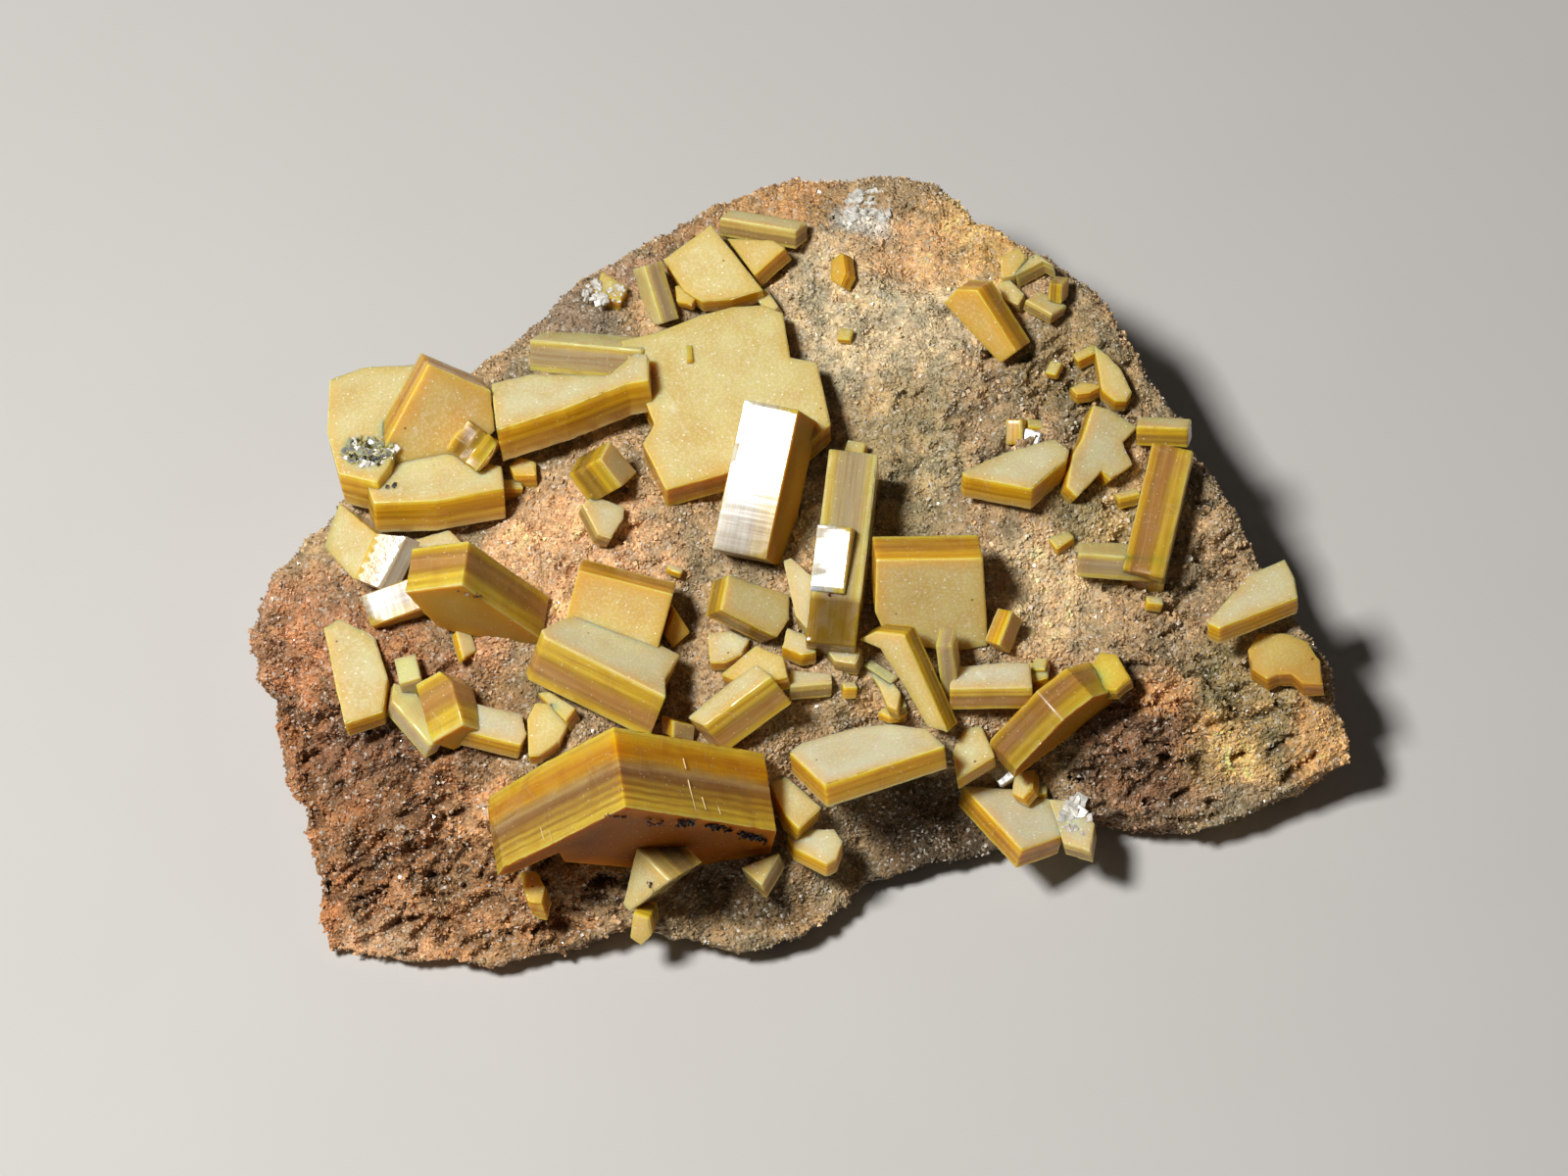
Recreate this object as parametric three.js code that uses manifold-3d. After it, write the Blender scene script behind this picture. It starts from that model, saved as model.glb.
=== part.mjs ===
// Wulfenite on matrix: square yellow lead molybdate tablets scattered over a weathered piece of rock.
// Millimetres, +Z up. The rock lies on the plane z = 0, and the middle of the whole piece is over the origin.
import * as THREE from "three";
import { mergeVertices } from "three/addons/utils/BufferGeometryUtils.js";
import Module from "manifold-3d";

const wasm = await Module();
wasm.setup();

// ---------- driving dimensions ----------

const MIDDLE = [0.86, 3.78, 0]; // the middle of the finished piece's footprint, in the coordinates of the tables below
const ROCK_CENTRE = [1, 2]; // the point that the rock's outline is drawn round
const ROCK_SPOKES = 56; // facets round the rock
const FOOT_REACH = 0.9; // where the flat underside ends, as a share of the outline's radius
const RELIEF = 0.35; // height of the small undulations of the rock
const ROOT_GAP = 0.3; // clearance between a crystal's root and the rock that holds it
const GROWTH_GAP = 0.25; // clearance left where a crystal stopped growing against an older one
const CHAMFER = 0.12; // narrow growth face along every edge of a tablet

// The rock's profile from the middle of its underside to the middle of its top:
// share of the outline's radius, share of the local height.
const ROCK_PROFILE = [
  [0, 0], [0.5, 0], [FOOT_REACH, 0], [0.95, 0.2], [0.975, 0.5], [0.995, 0.8], [1, 0.94],
  [0.98, 1], [0.935, 1], [0.88, 1], [0.815, 1], [0.75, 1], [0.68, 1], [0.61, 1], [0.535, 1], [0.46, 1],
  [0.38, 1], [0.3, 1], [0.21, 1], [0.11, 1], [0, 1],
];

// The rock's outline seen from above, anticlockwise from the right-hand point.
const ROCK_OUTLINE = [
  [40.4, -9.5], [38.6, -5.8], [34.6, 0], [33.6, 2.4], [32.3, 4.4], [30.6, 7.2], [29.4, 11], [27.6, 12.8],
  [26.5, 15.6], [24.8, 19.1], [23, 21.9], [20.5, 25.1], [16.2, 27.5], [13.7, 29.7], [12.4, 32.1],
  [8.8, 33.5], [4.4, 32.9], [0.7, 33.1], [-3, 31.8], [-7.5, 29.6], [-10.5, 27.4], [-14.9, 24.7],
  [-17.9, 21.1], [-20.6, 18.4], [-23.3, 16.7], [-28.1, 15.5], [-30.4, 12.4], [-31.2, 8], [-32, 5],
  [-33.2, 3], [-37, 1.9], [-38.7, -0.2], [-37.8, -4.8], [-36, -9], [-34.4, -13.6], [-33.4, -18],
  [-33.2, -22], [-31.8, -24.6], [-26, -25.4], [-21.3, -25.9], [-16.8, -25.4], [-11.2, -23.5],
  [-5.6, -24.6], [0, -24.8], [2.6, -22.9], [5.6, -19.8], [10.5, -17.8], [16.5, -16.4], [22, -15.2],
  [27, -16.2], [31, -15.6], [35, -14], [38, -13], [40, -12],
];

// Heights of the rock's upper surface: x, y, z of points spread over it.
const ROCK_HEIGHTS = [
  [-14, 23, 13], [-5, 28, 13.5], [4, 30, 14], [12, 29, 14], [17, 24, 14.5], [22, 20, 14.5], [26, 13, 14],
  [30, 7, 13], [34, 0, 11.5], [38, -7, 9.5], [40, -11, 7], [33, -14, 4.5], [27, -16.5, 3.5],
  [-20, 17, 13], [-28, 14, 12], [-31, 8, 11.5], [-33, 2, 10.5], [-38, -1, 8], [-36, -8, 4.5],
  [-34, -15, 2.5], [-32, -24, 1.2], [-24, -25, 1.5], [-15, -25, 2], [-5, -24, 2.5], [1, -23, 2.5],
  [6, -19, 2], [12, -16, 2], [17, -15, 2.5], [0, 0, 13.5], [-20, -2, 13], [-28, -5, 11.5],
  [-10, 5, 14], [15, 5, 14], [10, 18, 14.5], [25, -5, 11.5], [15, -5, 12], [5, -8, 12],
  [12, -10, 9.5], [-2, -12, 11.5], [-14, -13, 11.5], [-24, -12, 10], [-30, -15, 6], [-20, -19, 6.5],
  [-10, -19, 6], [0, -18, 6], [8, -13, 7], [22, -10, 9], [30, -8, 9],
  [9.5, -8.5, 12.4], [17, 7, 15],
];

// Every crystal is a flat prism whose c axis stands square on its two broad faces.
// at: a point on the upper broad face. axis: azimuth and elevation of the c axis in degrees.
// turn: the face's rotation about that axis in degrees. thick: length along the axis.
// face: corners of the broad face in its own plane. box: its two side lengths, where it is a plain rectangle.
// facets: sloping growth faces that each cut one side off, through a point, facing an azimuth and elevation.
// Crystals that have grown into each other share one entry and become one solid.
// The entries are in order of age: where two meet, the later one stops short of the earlier one.
const CRYSTALS = {
  back_left_plates: [
    {
      at: [-29.5, 11.4, 14.9], axis: [118, 77], turn: 56, thick: 3.4,
      face: [[1.5, -3.1], [5.5, -1.6], [6.3, 1.4], [4.6, 2], [-0.3, 2.3], [-5.2, 2.4], [-4.9, -1.5], [-3.6, -3.8]],
    },
    {
      at: [-24.4, 9.8, 15.9], axis: [-70, 35], turn: 48, thick: 2.6,
      face: [[-2.9, 3.2], [-4.2, 1.8], [-2, -2.6], [1.4, -3.7], [3.9, -1.9], [3.8, 3.2]],
    },
  ],
  front_left_tablet: [
    {
      at: [-25, 6.2, 15], axis: [90, 73], turn: 12, thick: 3,
      face: [[4.7, -0.4], [4.5, 1.7], [0.2, 2.4], [-4.8, 2.1], [-5, -0.2], [-1, -2.6], [1.8, -2.9]],
    },
    {
      at: [-21, 7.6, 15.4], axis: [-33, -17], turn: 25, thick: 2.8,
      box: [2.6, 2],
    },
  ],
  long_banded_bars: [
    {
      at: [-15.7, 12.4, 17.3], axis: [114, 73], turn: 148, thick: 3.2,
      face: [
        [-4.1, -4.6], [0.4, -2.2], [4.5, 0.5], [6, 0.9], [5.5, 3.6], [4.5, 3.7],
        [3, 1.3], [-2.8, 1.3], [-5.4, 0.2],
      ],
    },
    { at: [-13.8, 18.4, 14.2], axis: [89, 47], turn: 163, thick: 2.4, box: [8.6, 3.5] },
  ],
  olive_edge_tablet: [
    {
      at: [-31, 2.4, 12.6], axis: [180, 44], turn: 18, thick: 2.7,
      face: [[-3.9, -0.1], [-1.6, -2.5], [3.3, -0.5], [4.8, 0.7], [2.5, 4.2], [1.5, 2.6]],
      facets: [{ through: [-28.9, 1.8, 14.7], facing: [-123, 66] }],
    },
  ],
  bright_faced_block: [
    { at: [-26.8, -3.5, 11.5], axis: [-72, -16], turn: 18, thick: 2.4, box: [4.4, 3.2] },
  ],
  bent_tablet: [
    {
      at: [-21.8, -5.4, 14.6], axis: [-97, -7], turn: 121, thick: 3.4,
      face: [[0, 3.2], [-3.1, 1.6], [-5.6, -0.6], [-4.3, -3], [5.7, -3], [5.8, 1.8]],
    },
  ],
  tucked_plate: [
    {
      at: [-25.4, 1.2, 13.2], axis: [110, 72], turn: 12, thick: 1.4,
      face: [[-2.5, 0.8], [-2.4, -1], [0, -1.6], [1.4, -1.4], [1.4, 0.6]],
    },
  ],
  rounded_left_plate: [
    {
      at: [-30.3, -7.4, 11.7], axis: [-175, 86], turn: 101, thick: 2,
      face: [
        [-1.4, 1.5], [-1.6, -1.4], [-1.7, -4.2], [1.1, -4.1], [2.1, -1.5],
        [2, 1.9], [1.3, 2.8], [0, 4.2], [-1.3, 3.8],
      ],
    },
  ],
  left_trio: [
    { at: [-26.5, -7.7, 12.1], axis: [126, 73], turn: 67, thick: 1.5, box: [2.5, 1.6] },
    {
      at: [-26.1, -10.7, 11.4], axis: [26, 69], turn: 18, thick: 1.6,
      face: [[1.4, 0.7], [-3, 0.9], [-3.1, -0.2], [1.2, -1.5], [2.5, -0.5]],
    },
    {
      at: [-23.1, -13, 11.3], axis: [-74, -4], turn: 36, thick: 4.7,
      face: [[1.8, -1.4], [1.8, 1.2], [-1.1, 1.2], [-1.1, -1.4]],
      facets: [{ through: [-23.8, -9, 13.4], facing: [51, 32] }],
    },
  ],
  pale_low_tablet: [
    {
      at: [-20, -11.8, 11.4], axis: [44, 77], turn: 35, thick: 1.8,
      face: [[2.6, 1.3], [-1.9, 1.3], [-2.1, 0.2], [-1.4, -1.4], [2.8, -1.3]],
    },
  ],
  brown_backed_plate: [
    {
      at: [-16.7, -12.7, 12.3], axis: [-95, 86], turn: 98, thick: 1.5,
      face: [[-2, 1.2], [-2, 0.4], [-1, -1], [0.2, -1.6], [1.9, -0.9], [2.1, 0.6], [0.9, 1.2]],
    },
    {
      at: [-15.9, -10.7, 12.5], axis: [148, 74], turn: 70, thick: 1.4,
      face: [[1.8, -0.5], [1.4, 0.7], [-1.3, 0.2], [-1.8, -0.5]],
    },
  ],
  broad_banded_tablet: [
    {
      at: [-12.3, -7.4, 14.7], axis: [53, 58], turn: 13, thick: 3.9,
      face: [[-5.5, 2.5], [-4.7, 0.4], [-4.5, -3.1], [2.3, -3.6], [3.9, -0.4], [4.5, 1.8], [4, 2.5]],
    },
  ],
  square_leaning_plate: [
    {
      at: [-11.7, -4.8, 14.7], axis: [-95, 43], turn: 154, thick: 2.9,
      face: [[2.9, 2.3], [-4.1, 2.3], [-2.7, -3.2], [3.9, -1.4]],
    },
  ],
  amber_wedge: [
    {
      at: [-7.6, -4.9, 12.2], axis: [-71, 27], turn: 109, thick: 1.6,
      face: [[0.2, 0.8], [-1, 0.8], [-0.7, -0.8], [1.5, -0.8]],
    },
  ],
  rear_plate: [
    {
      at: [-5.5, 22.9, 15.5], axis: [-140, 80], turn: 174, thick: 1.8,
      face: [[3.3, 1.8], [0.3, 2], [-1.3, 1.5], [-2.5, -0.3], [-3.3, -2.6], [3.5, -2.6]],
    },
  ],
  rear_wedge: [
    {
      at: [-1.8, 25.3, 15.5], axis: [170, 69], turn: 39, thick: 1.6,
      face: [[1.7, -1.4], [1.2, 1.6], [-0.1, 1.2], [-2.8, -1.4]],
    },
  ],
  rear_bar: [{ at: [-1.5, 28.3, 15], axis: [90, 54], turn: 154, thick: 1.5, box: [6.2, 2] }],
  rear_rod: [{ at: [-10, 22, 14.3], axis: [-154, 9], turn: 147, thick: 1.5, box: [4.4, 2.5] }],
  rear_block: [
    {
      at: [-12.6, 22.8, 14.4], axis: [77, 83], turn: 155, thick: 1.4,
      face: [[-0.7, -1.1], [1.3, -0.6], [0.9, 0.8], [-1.5, 0.8]],
    },
  ],
  tall_bright_blade: [{ at: [0.6, 4.3, 16.4], axis: [-17, 7], turn: 26, thick: 4.1, box: [10.8, 6] }],
  great_plate: [
    {
      at: [-3.7, 14, 15.9], axis: [114, 87], turn: 85, thick: 2.4,
      face: [
        [1.8, -6.5], [3.1, -7.8], [7.5, -7.5], [7.6, -3.2], [7.2, 3.3], [6.2, 5.3], [0.7, 6.2], [-0.4, 4.5],
        [-4.3, 5.3], [-5.4, 4.2], [-6, 2.1], [-6.1, -0.4], [-5.7, -3.8], [-5.9, -6.5],
      ],
    },
  ],
  orange_tile: [
    {
      at: [3.9, 23.9, 15], axis: [-179, 42], turn: 8, thick: 1.1,
      face: [[0.3, -0.9], [1.5, -0.1], [0.8, 0.7], [-1.2, 0.7], [-1.3, -0.5]],
    },
  ],
  mid_block_pair: [
    {
      at: [-11.8, 6.1, 16.9], axis: [8, 38], turn: 61, thick: 3,
      face: [[-1, 1.5], [-1.9, -1.4], [1.3, -1.4], [1.6, 1.2]],
    },
    {
      at: [-12.6, 3, 15], axis: [-14, 73], turn: 42, thick: 1.6,
      face: [[-1.1, 1.2], [-1.7, 0.4], [-0.6, -1.1], [0.2, -1.7], [1.8, 0.1], [1.4, 1.2]],
    },
  ],
  mid_tablet: [
    {
      at: [-1.6, -4.2, 14.6], axis: [-18, 53], turn: 106, thick: 2,
      face: [[3.3, 1.1], [-1.6, 1.8], [-2.5, 0.2], [-2.3, -1.6], [3, -1.6]],
    },
  ],
  tall_striped_blade: [
    { at: [5.9, -0.2, 14.2], axis: [-7, 0], turn: 14, thick: 3.5, box: [14.2, 5.5] },
    { at: [4.8, -1.5, 16.1], axis: [-12, 9], turn: 25, thick: 2.5, box: [4.7, 3] },
  ],
  pale_shard: [
    {
      at: [1, -2.9, 15], axis: [-175, 84], turn: 6, thick: 1.6,
      face: [[2.1, -0.6], [3.6, 0.1], [-0.7, 1.2], [-2.6, 0], [-2.5, -0.6]],
    },
  ],
  amber_prism: [
    {
      at: [14, 18.3, 16.9], axis: [-127, 27], turn: 162, thick: 2.2,
      face: [[-3.3, 1.3], [-3.6, -0.5], [1.5, -1.7], [2.7, -0.4], [2.7, 1.3]],
    },
  ],
  rear_right_blocks: [
    {
      at: [16.6, 23.7, 16.3], axis: [174, 81], turn: 9, thick: 1.4,
      face: [[1.2, -0.9], [1.1, 0.1], [-0.3, 1.1], [-1.3, 0.6], [-0.7, -0.9]],
    },
    {
      at: [18.2, 23.7, 16.3], axis: [122, 71], turn: 179, thick: 1.4,
      face: [[-1.8, -0.2], [0.6, -0.2], [0.9, -1.3], [0.7, 0.8], [-0.4, 0.9]],
    },
    {
      at: [16.4, 21.5, 15.8], axis: [177, 77], turn: 39, thick: 1.2,
      face: [[0.1, -0.7], [1.3, -0.3], [0.9, 0.6], [-0.9, 0.6], [-1.3, -0.2]],
    },
  ],
  yellow_edge_plate: [
    { at: [21.7, 16.4, 15.6], axis: [137, 79], turn: 161, thick: 1.2, box: [1.7, 0.8] },
    {
      at: [23.7, 14, 15.9], axis: [43, 87], turn: 144, thick: 1.5,
      face: [[0.9, -1], [1.9, -0.2], [2, 0.6], [1.3, 1.1], [-0.8, 0.6], [-2.2, -0.2], [-3.1, -1]],
    },
  ],
  low_amber_tile: [
    {
      at: [21.6, 13.6, 15.2], axis: [108, 82], turn: 146, thick: 1.2,
      face: [[-0.4, -0.7], [0.5, -0.3], [1.3, 0.6], [-0.3, 0.6], [-1.1, -0.2]],
    },
  ],
  broken_plate: [
    {
      at: [22.7, 8, 15.4], axis: [-28, 70], turn: 11, thick: 1.8,
      face: [
        [0.5, 1.7], [-1, 2], [-3.6, 1.7], [-4, 0.7], [-1.3, -0.4], [-1.7, -1.2], [0.2, -2.4],
        [1.5, -1.2], [3.1, -1.9], [3.5, 0.4], [3.3, 1.7],
      ],
    },
  ],
  right_rim_bar: [{ at: [27.2, 10.7, 15.2], axis: [92, 50], turn: 167, thick: 1.5, box: [3.7, 2.2] }],
  right_angled_pair: [
    { at: [28.1, 3.6, 12.9], axis: [-14, 0], turn: 10, thick: 3, box: [9.9, 4] },
    { at: [24, 1.3, 13.2], axis: [85, 49], turn: 1, thick: 1.8, box: [6.2, 3] },
  ],
  right_tablet: [
    {
      at: [16.9, 6.4, 16.8], axis: [82, 76], turn: 175, thick: 2.2,
      face: [[-3.7, -2.4], [1.2, -2.4], [3, 1.1], [3, 2.1], [1.8, 3], [-1.4, 0.7], [-4, -2]],
    },
  ],
  square_standing_plate: [
    {
      at: [10, -4.7, 14.8], axis: [-85, 28], turn: 176, thick: 3.3,
      face: [[3.6, 0], [2.7, 2.4], [-1.8, 3.4], [-4.5, 3], [-3.8, -4.3], [3.7, -4.3]],
    },
  ],
  elbow_tablet: [
    {
      at: [8.1, -8.8, 13.4], axis: [-126, 26], turn: 136, thick: 1.6,
      face: [[2, 0.8], [-1.5, 0.1], [-4.4, -0.2], [-5.1, -1.7], [2.6, -1.7], [3.3, 0.5], [3, 2.2]],
    },
  ],
  smoky_rod: [{ at: [12.3, -8.1, 12.1], axis: [-6, 10], turn: 68, thick: 1.2, box: [6.4, 2] }],
  low_banded_tablet: [
    {
      at: [14.3, -8.5, 12.5], axis: [94, 69], turn: 176, thick: 2,
      face: [[-2.7, -1.4], [3.1, -1.4], [3, 1.3], [1.5, 1.5], [-2.2, 1], [-2.7, -0.9]],
    },
  ],
  diagonal_bar: [
    {
      at: [19.8, -11.9, 11.6], axis: [-51, -5], turn: 0, thick: 2.9,
      face: [[4.6, -3], [4.6, -0.5], [2.2, 1.5], [-0.5, 1.2], [-4.4, -1.9], [-4.4, -3.4]],
    },
    {
      at: [22.7, -7.9, 11.7], axis: [149, 72], turn: 52, thick: 1.2,
      face: [[0.8, -1.4], [1.7, 0], [1.3, 1.3], [-1.1, 1.3], [-2, 0.3], [-0.7, -1.6]],
    },
  ],
  pale_wedge: [
    {
      at: [13.1, -12.4, 9.1], axis: [163, 84], turn: 140, thick: 1.6,
      face: [[-1.1, 0.6], [-2.2, -1.6], [1, -1.6], [1.6, 0.9], [0.7, 1.7]],
    },
  ],
  front_right_tablet: [
    {
      at: [17, -15.7, 5.6], axis: [61, 67], turn: 152, thick: 1.9,
      face: [[3.1, -2.6], [3.1, 1.2], [-0.2, 2.7], [-1.9, 1.4], [-4.1, -2.6]],
    },
    {
      at: [20.4, -16.8, 6], axis: [128, 74], turn: 65, thick: 1.4,
      face: [[1.5, -1.1], [2.9, 0.5], [0.5, 1.4], [-2.1, 0.3], [-2.8, -1.1]],
    },
  ],
  short_rod: [{ at: [16, -5.4, 13.1], axis: [-29, 21], turn: 18, thick: 1.3, box: [2.6, 1.8] }],
  front_banded_tablet: [
    {
      at: [5.4, -13.2, 11.2], axis: [102, 57], turn: 14, thick: 1.9,
      face: [[4.6, 3.8], [-4.7, 3.8], [-4.7, 0.8], [-2.7, -1.5], [-0.5, -2.3], [3.4, -2.6], [4.7, -2]],
    },
  ],
  great_bow_tablet: [
    {
      at: [-10.7, -21.7, 11.5], axis: [-81, -11], turn: 165, thick: 5.8,
      face: [
        [6, -2.6], [8.4, 2.6], [8.4, 4.4], [7.3, 3.9], [5.1, -0.2], [4.1, 2.1], [-1.9, 4.8],
        [-8.6, 5.7], [-11.4, 3.5], [-10.2, -1.9], [2.9, -9.7],
      ],
      facets: [{ through: [-19.4, -21.3, 11.9], facing: [-176, 34] }],
    },
  ],
  glassy_corner: [
    {
      at: [-10.3, -22.9, 9.1], axis: [-137, 22], turn: 101, thick: 3.4,
      face: [[1.9, -2.9], [2.6, 0.4], [-2.7, 0.8], [-3, 0.1]],
    },
  ],
  amber_stub: [
    {
      at: [-17.5, -22, 6.4], axis: [131, 75], turn: 65, thick: 2,
      face: [[1, -0.7], [1.7, 0.2], [0.3, 0.8], [-1.4, 0.4], [-1.6, -0.7]],
    },
  ],
  shadow_wedge: [
    {
      at: [-1.4, -20.6, 7], axis: [140, 73], turn: 14, thick: 1.8,
      face: [[1.6, 0.6], [-1.3, 0.6], [-1, 0.2], [0.7, -1.5]],
    },
  ],
  pale_kite: [
    {
      at: [0.6, -16.5, 8.7], axis: [39, 80], turn: 7, thick: 1.8,
      face: [[-0.5, 1.2], [-1.9, 1.3], [-1.7, -1.2], [1.8, -1.2], [2.3, -0.1]],
    },
  ],
  small_front_tile: [
    {
      at: [2.3, -19.1, 7.3], axis: [91, 77], turn: 146, thick: 1.5,
      face: [[-1.1, -1.2], [1.6, -1.2], [1.9, -0.4], [1.4, 1.2], [0.3, 1.8], [-1.8, 0.4], [-2.2, -0.5]],
    },
  ],
  centre_banded_bar: [
    {
      at: [-3.8, -11.1, 14.6], axis: [148, 52], turn: 148, thick: 2.9,
      face: [[3.1, -1.4], [2.7, 1], [0.3, 1.2], [-3.4, 0.8], [-2.7, -1.4]],
    },
    {
      at: [-1.8, -8.8, 13.9], axis: [160, 78], turn: 151, thick: 1.6,
      face: [[-1.6, 0.2], [-0.5, -1.1], [1, -2], [1.9, -0.5], [1.2, 1.7], [-2.1, 1.7]],
    },
  ],
  small_cube: [
    {
      at: [-7, -12.4, 11.3], axis: [-43, 27], turn: 127, thick: 1.3,
      face: [[0.8, 0.6], [-1.3, 0.6], [-0.9, -0.6], [1.4, -0.6]],
    },
  ],
  small_bar: [
    {
      at: [1.9, -8.9, 12.9], axis: [82, 71], turn: 17, thick: 1.4,
      face: [[1.6, 0.7], [-1.4, 0.7], [-1.5, -0.3], [1.3, -1]],
    },
  ],
  flat_flake: [
    {
      at: [-4, -6, 12.1], axis: [-156, 86], turn: 160, thick: 1.4,
      face: [[-1.1, 1.3], [-1.2, 0.2], [-0.7, -1], [0.5, -1.6], [1.3, -0.3], [1.2, 1.3]],
    },
  ],
  chipped_block: [
    {
      at: [1, -6.2, 13.1], axis: [91, 79], turn: 115, thick: 1.4,
      face: [[-0.2, -1.2], [1.1, -0.3], [1.3, 0.8], [-0.6, 0.8], [-1.6, -0.1]],
    },
  ],
  right_edge_tablet: [
    {
      at: [33.5, -2.5, 13.7], axis: [104, 74], turn: 12, thick: 1.7,
      face: [[4.1, 1.7], [-2.2, 1.7], [-2.9, 0], [-3.3, -2.1], [-0.4, -2], [4.6, 0.8]],
    },
  ],
  right_edge_plate: [
    {
      at: [35.1, -6.7, 11.2], axis: [161, 81], turn: 176, thick: 1.8,
      face: [[-1.2, 1.9], [-1.6, 0.5], [-1, -0.1], [-0.7, -1], [-1.2, -2], [-0.8, -3.4],
        [1, -2.5], [2.2, -1.2], [2.4, 0.4], [1.8, 2.4], [0.2, 2.6]],
    },
  ],
};

// ---------- materials ----------

const ROCK_FINISH = new THREE.MeshStandardMaterial({ color: 0x9c876b, roughness: 0.95, metalness: 0 });
const CRYSTAL_FINISH = new THREE.MeshStandardMaterial({ color: 0xcdb565, roughness: 0.35, metalness: 0 });

// ---------- solids and meshes ----------

// Turns a closed three.js geometry into a solid that can be joined and cut.
function solidOf(geometry) {
  const bare = geometry.clone();
  bare.deleteAttribute("normal");
  bare.deleteAttribute("uv");
  const merged = mergeVertices(bare, 1e-4);
  const vertProperties = new Float32Array(merged.attributes.position.array);
  const triVerts = withoutSlivers(merged.index.array);
  return new wasm.Manifold(new wasm.Mesh({ numProp: 3, vertProperties, triVerts }));
}

// Drops triangles that merging has closed up to a line.
function withoutSlivers(index) {
  const kept = [];
  for (let i = 0; i < index.length; i += 3) {
    const [a, b, c] = [index[i], index[i + 1], index[i + 2]];
    if (a !== b && b !== c && c !== a) kept.push(a, b, c);
  }
  return new Uint32Array(kept);
}

function geometryOf(solid) {
  const mesh = solid.getMesh();
  const geometry = new THREE.BufferGeometry();
  geometry.setAttribute("position", new THREE.BufferAttribute(new Float32Array(mesh.vertProperties), 3));
  geometry.setIndex(new THREE.BufferAttribute(new Uint32Array(mesh.triVerts), 1));
  geometry.computeVertexNormals();
  return geometry;
}

function largestBody(solid) {
  return solid.decompose().reduce((best, body) => (body.volume() > best.volume() ? body : best));
}

// ---------- the rock ----------

// Radius of the rock's outline in a given direction, between the two outline points on either side of it.
function outlineRadius(angle) {
  const points = ROCK_OUTLINE.map(([x, y]) => {
    const [dx, dy] = [x - ROCK_CENTRE[0], y - ROCK_CENTRE[1]];
    return { angle: Math.atan2(dy, dx), radius: Math.hypot(dx, dy) };
  }).sort((a, b) => a.angle - b.angle);
  const full = 2 * Math.PI;
  const after = points.findIndex((p) => p.angle >= angle);
  const next = after < 0 ? { ...points[0], angle: points[0].angle + full } : points[after];
  const last = points[points.length - 1];
  const previous = after > 0 ? points[after - 1] : after < 0 ? last : { ...last, angle: last.angle - full };
  const share = (angle - previous.angle) / (next.angle - previous.angle);
  return THREE.MathUtils.lerp(previous.radius, next.radius, share);
}

// Height of the rock's top: the listed heights weighted by nearness, with a small relief over them.
function rockHeight(x, y) {
  let weights = 0;
  let total = 0;
  for (const [px, py, pz] of ROCK_HEIGHTS) {
    const weight = 1 / (Math.hypot(px - x, py - y) ** 3 + 1);
    weights += weight;
    total += weight * pz;
  }
  return total / weights;
}

function relief(x, y) {
  return RELIEF * (Math.sin(1.1 * x + 0.6 * y) * Math.cos(0.9 * y - 0.4 * x) + 0.6 * Math.sin(2.1 * y + 1.7 * x));
}

// A lathed slab whose rings are pushed out to the rock's outline and up to its height.
// With a margin it is the space that the rock keeps clear of the crystals.
function rockGeometry(margin) {
  const profile = ROCK_PROFILE.map(([reach, rise]) => new THREE.Vector2(reach, rise));
  const slab = new THREE.LatheGeometry(profile, ROCK_SPOKES).rotateX(Math.PI / 2).scale(1, 1, -1);
  const places = slab.attributes.position;
  for (let i = 0; i < places.count; i++) {
    const reach = Math.hypot(places.getX(i), places.getY(i));
    const rise = Math.abs(places.getZ(i));
    const angle = Math.atan2(places.getY(i), places.getX(i));
    const radius = reach > 0 ? outlineRadius(angle) * reach + margin : 0;
    const x = ROCK_CENTRE[0] + radius * Math.cos(angle);
    const y = ROCK_CENTRE[1] + radius * Math.sin(angle);
    const height = rockHeight(x, y) + relief(x, y) + margin;
    places.setXYZ(i, x, y, rise * height);
  }
  return slab;
}

// ---------- the crystals ----------

// Unit vector towards an azimuth and elevation in degrees.
function direction(angles) {
  const [azimuth, elevation] = angles.map(THREE.MathUtils.degToRad);
  const level = Math.cos(elevation);
  return new THREE.Vector3(level * Math.cos(azimuth), level * Math.sin(azimuth), Math.sin(elevation));
}

// Right-handed frame of a crystal: x and y in the broad face, z along the c axis.
function crystalFrame({ at, axis, turn }) {
  const c = direction(axis);
  const level = direction([axis[0] + 90, 0]);
  const a = level.applyAxisAngle(c, THREE.MathUtils.degToRad(turn));
  const b = new THREE.Vector3().crossVectors(c, a);
  return new THREE.Matrix4().makeBasis(a, b, c).setPosition(...at);
}

function rectangle([length, width]) {
  const [x, y] = [length / 2, width / 2];
  return [[x, -y], [x, y], [-x, y], [-x, -y]];
}

// One crystal, or with a margin the space that it keeps clear of younger crystals.
function crystalSolid(crystal, margin) {
  const corners = crystal.face ?? rectangle(crystal.box);
  const outline = new THREE.Shape(corners.map(([x, y]) => new THREE.Vector2(x, y)));
  const prism = new THREE.ExtrudeGeometry(outline, {
    depth: crystal.thick + 2 * (margin - CHAMFER),
    bevelThickness: CHAMFER,
    bevelSize: CHAMFER,
    bevelOffset: margin - CHAMFER,
    bevelSegments: 1,
  });
  prism.translate(0, 0, CHAMFER - margin - crystal.thick).applyMatrix4(crystalFrame(crystal));
  return (crystal.facets ?? []).reduce((solid, facet) => trimmedBy(facet, solid, margin), solidOf(prism));
}

function trimmedBy({ through, facing }, solid, margin) {
  const inward = direction(facing).negate();
  const depth = inward.dot(new THREE.Vector3(...through));
  return solid.trimByPlane(inward.toArray(), depth - margin);
}

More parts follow.
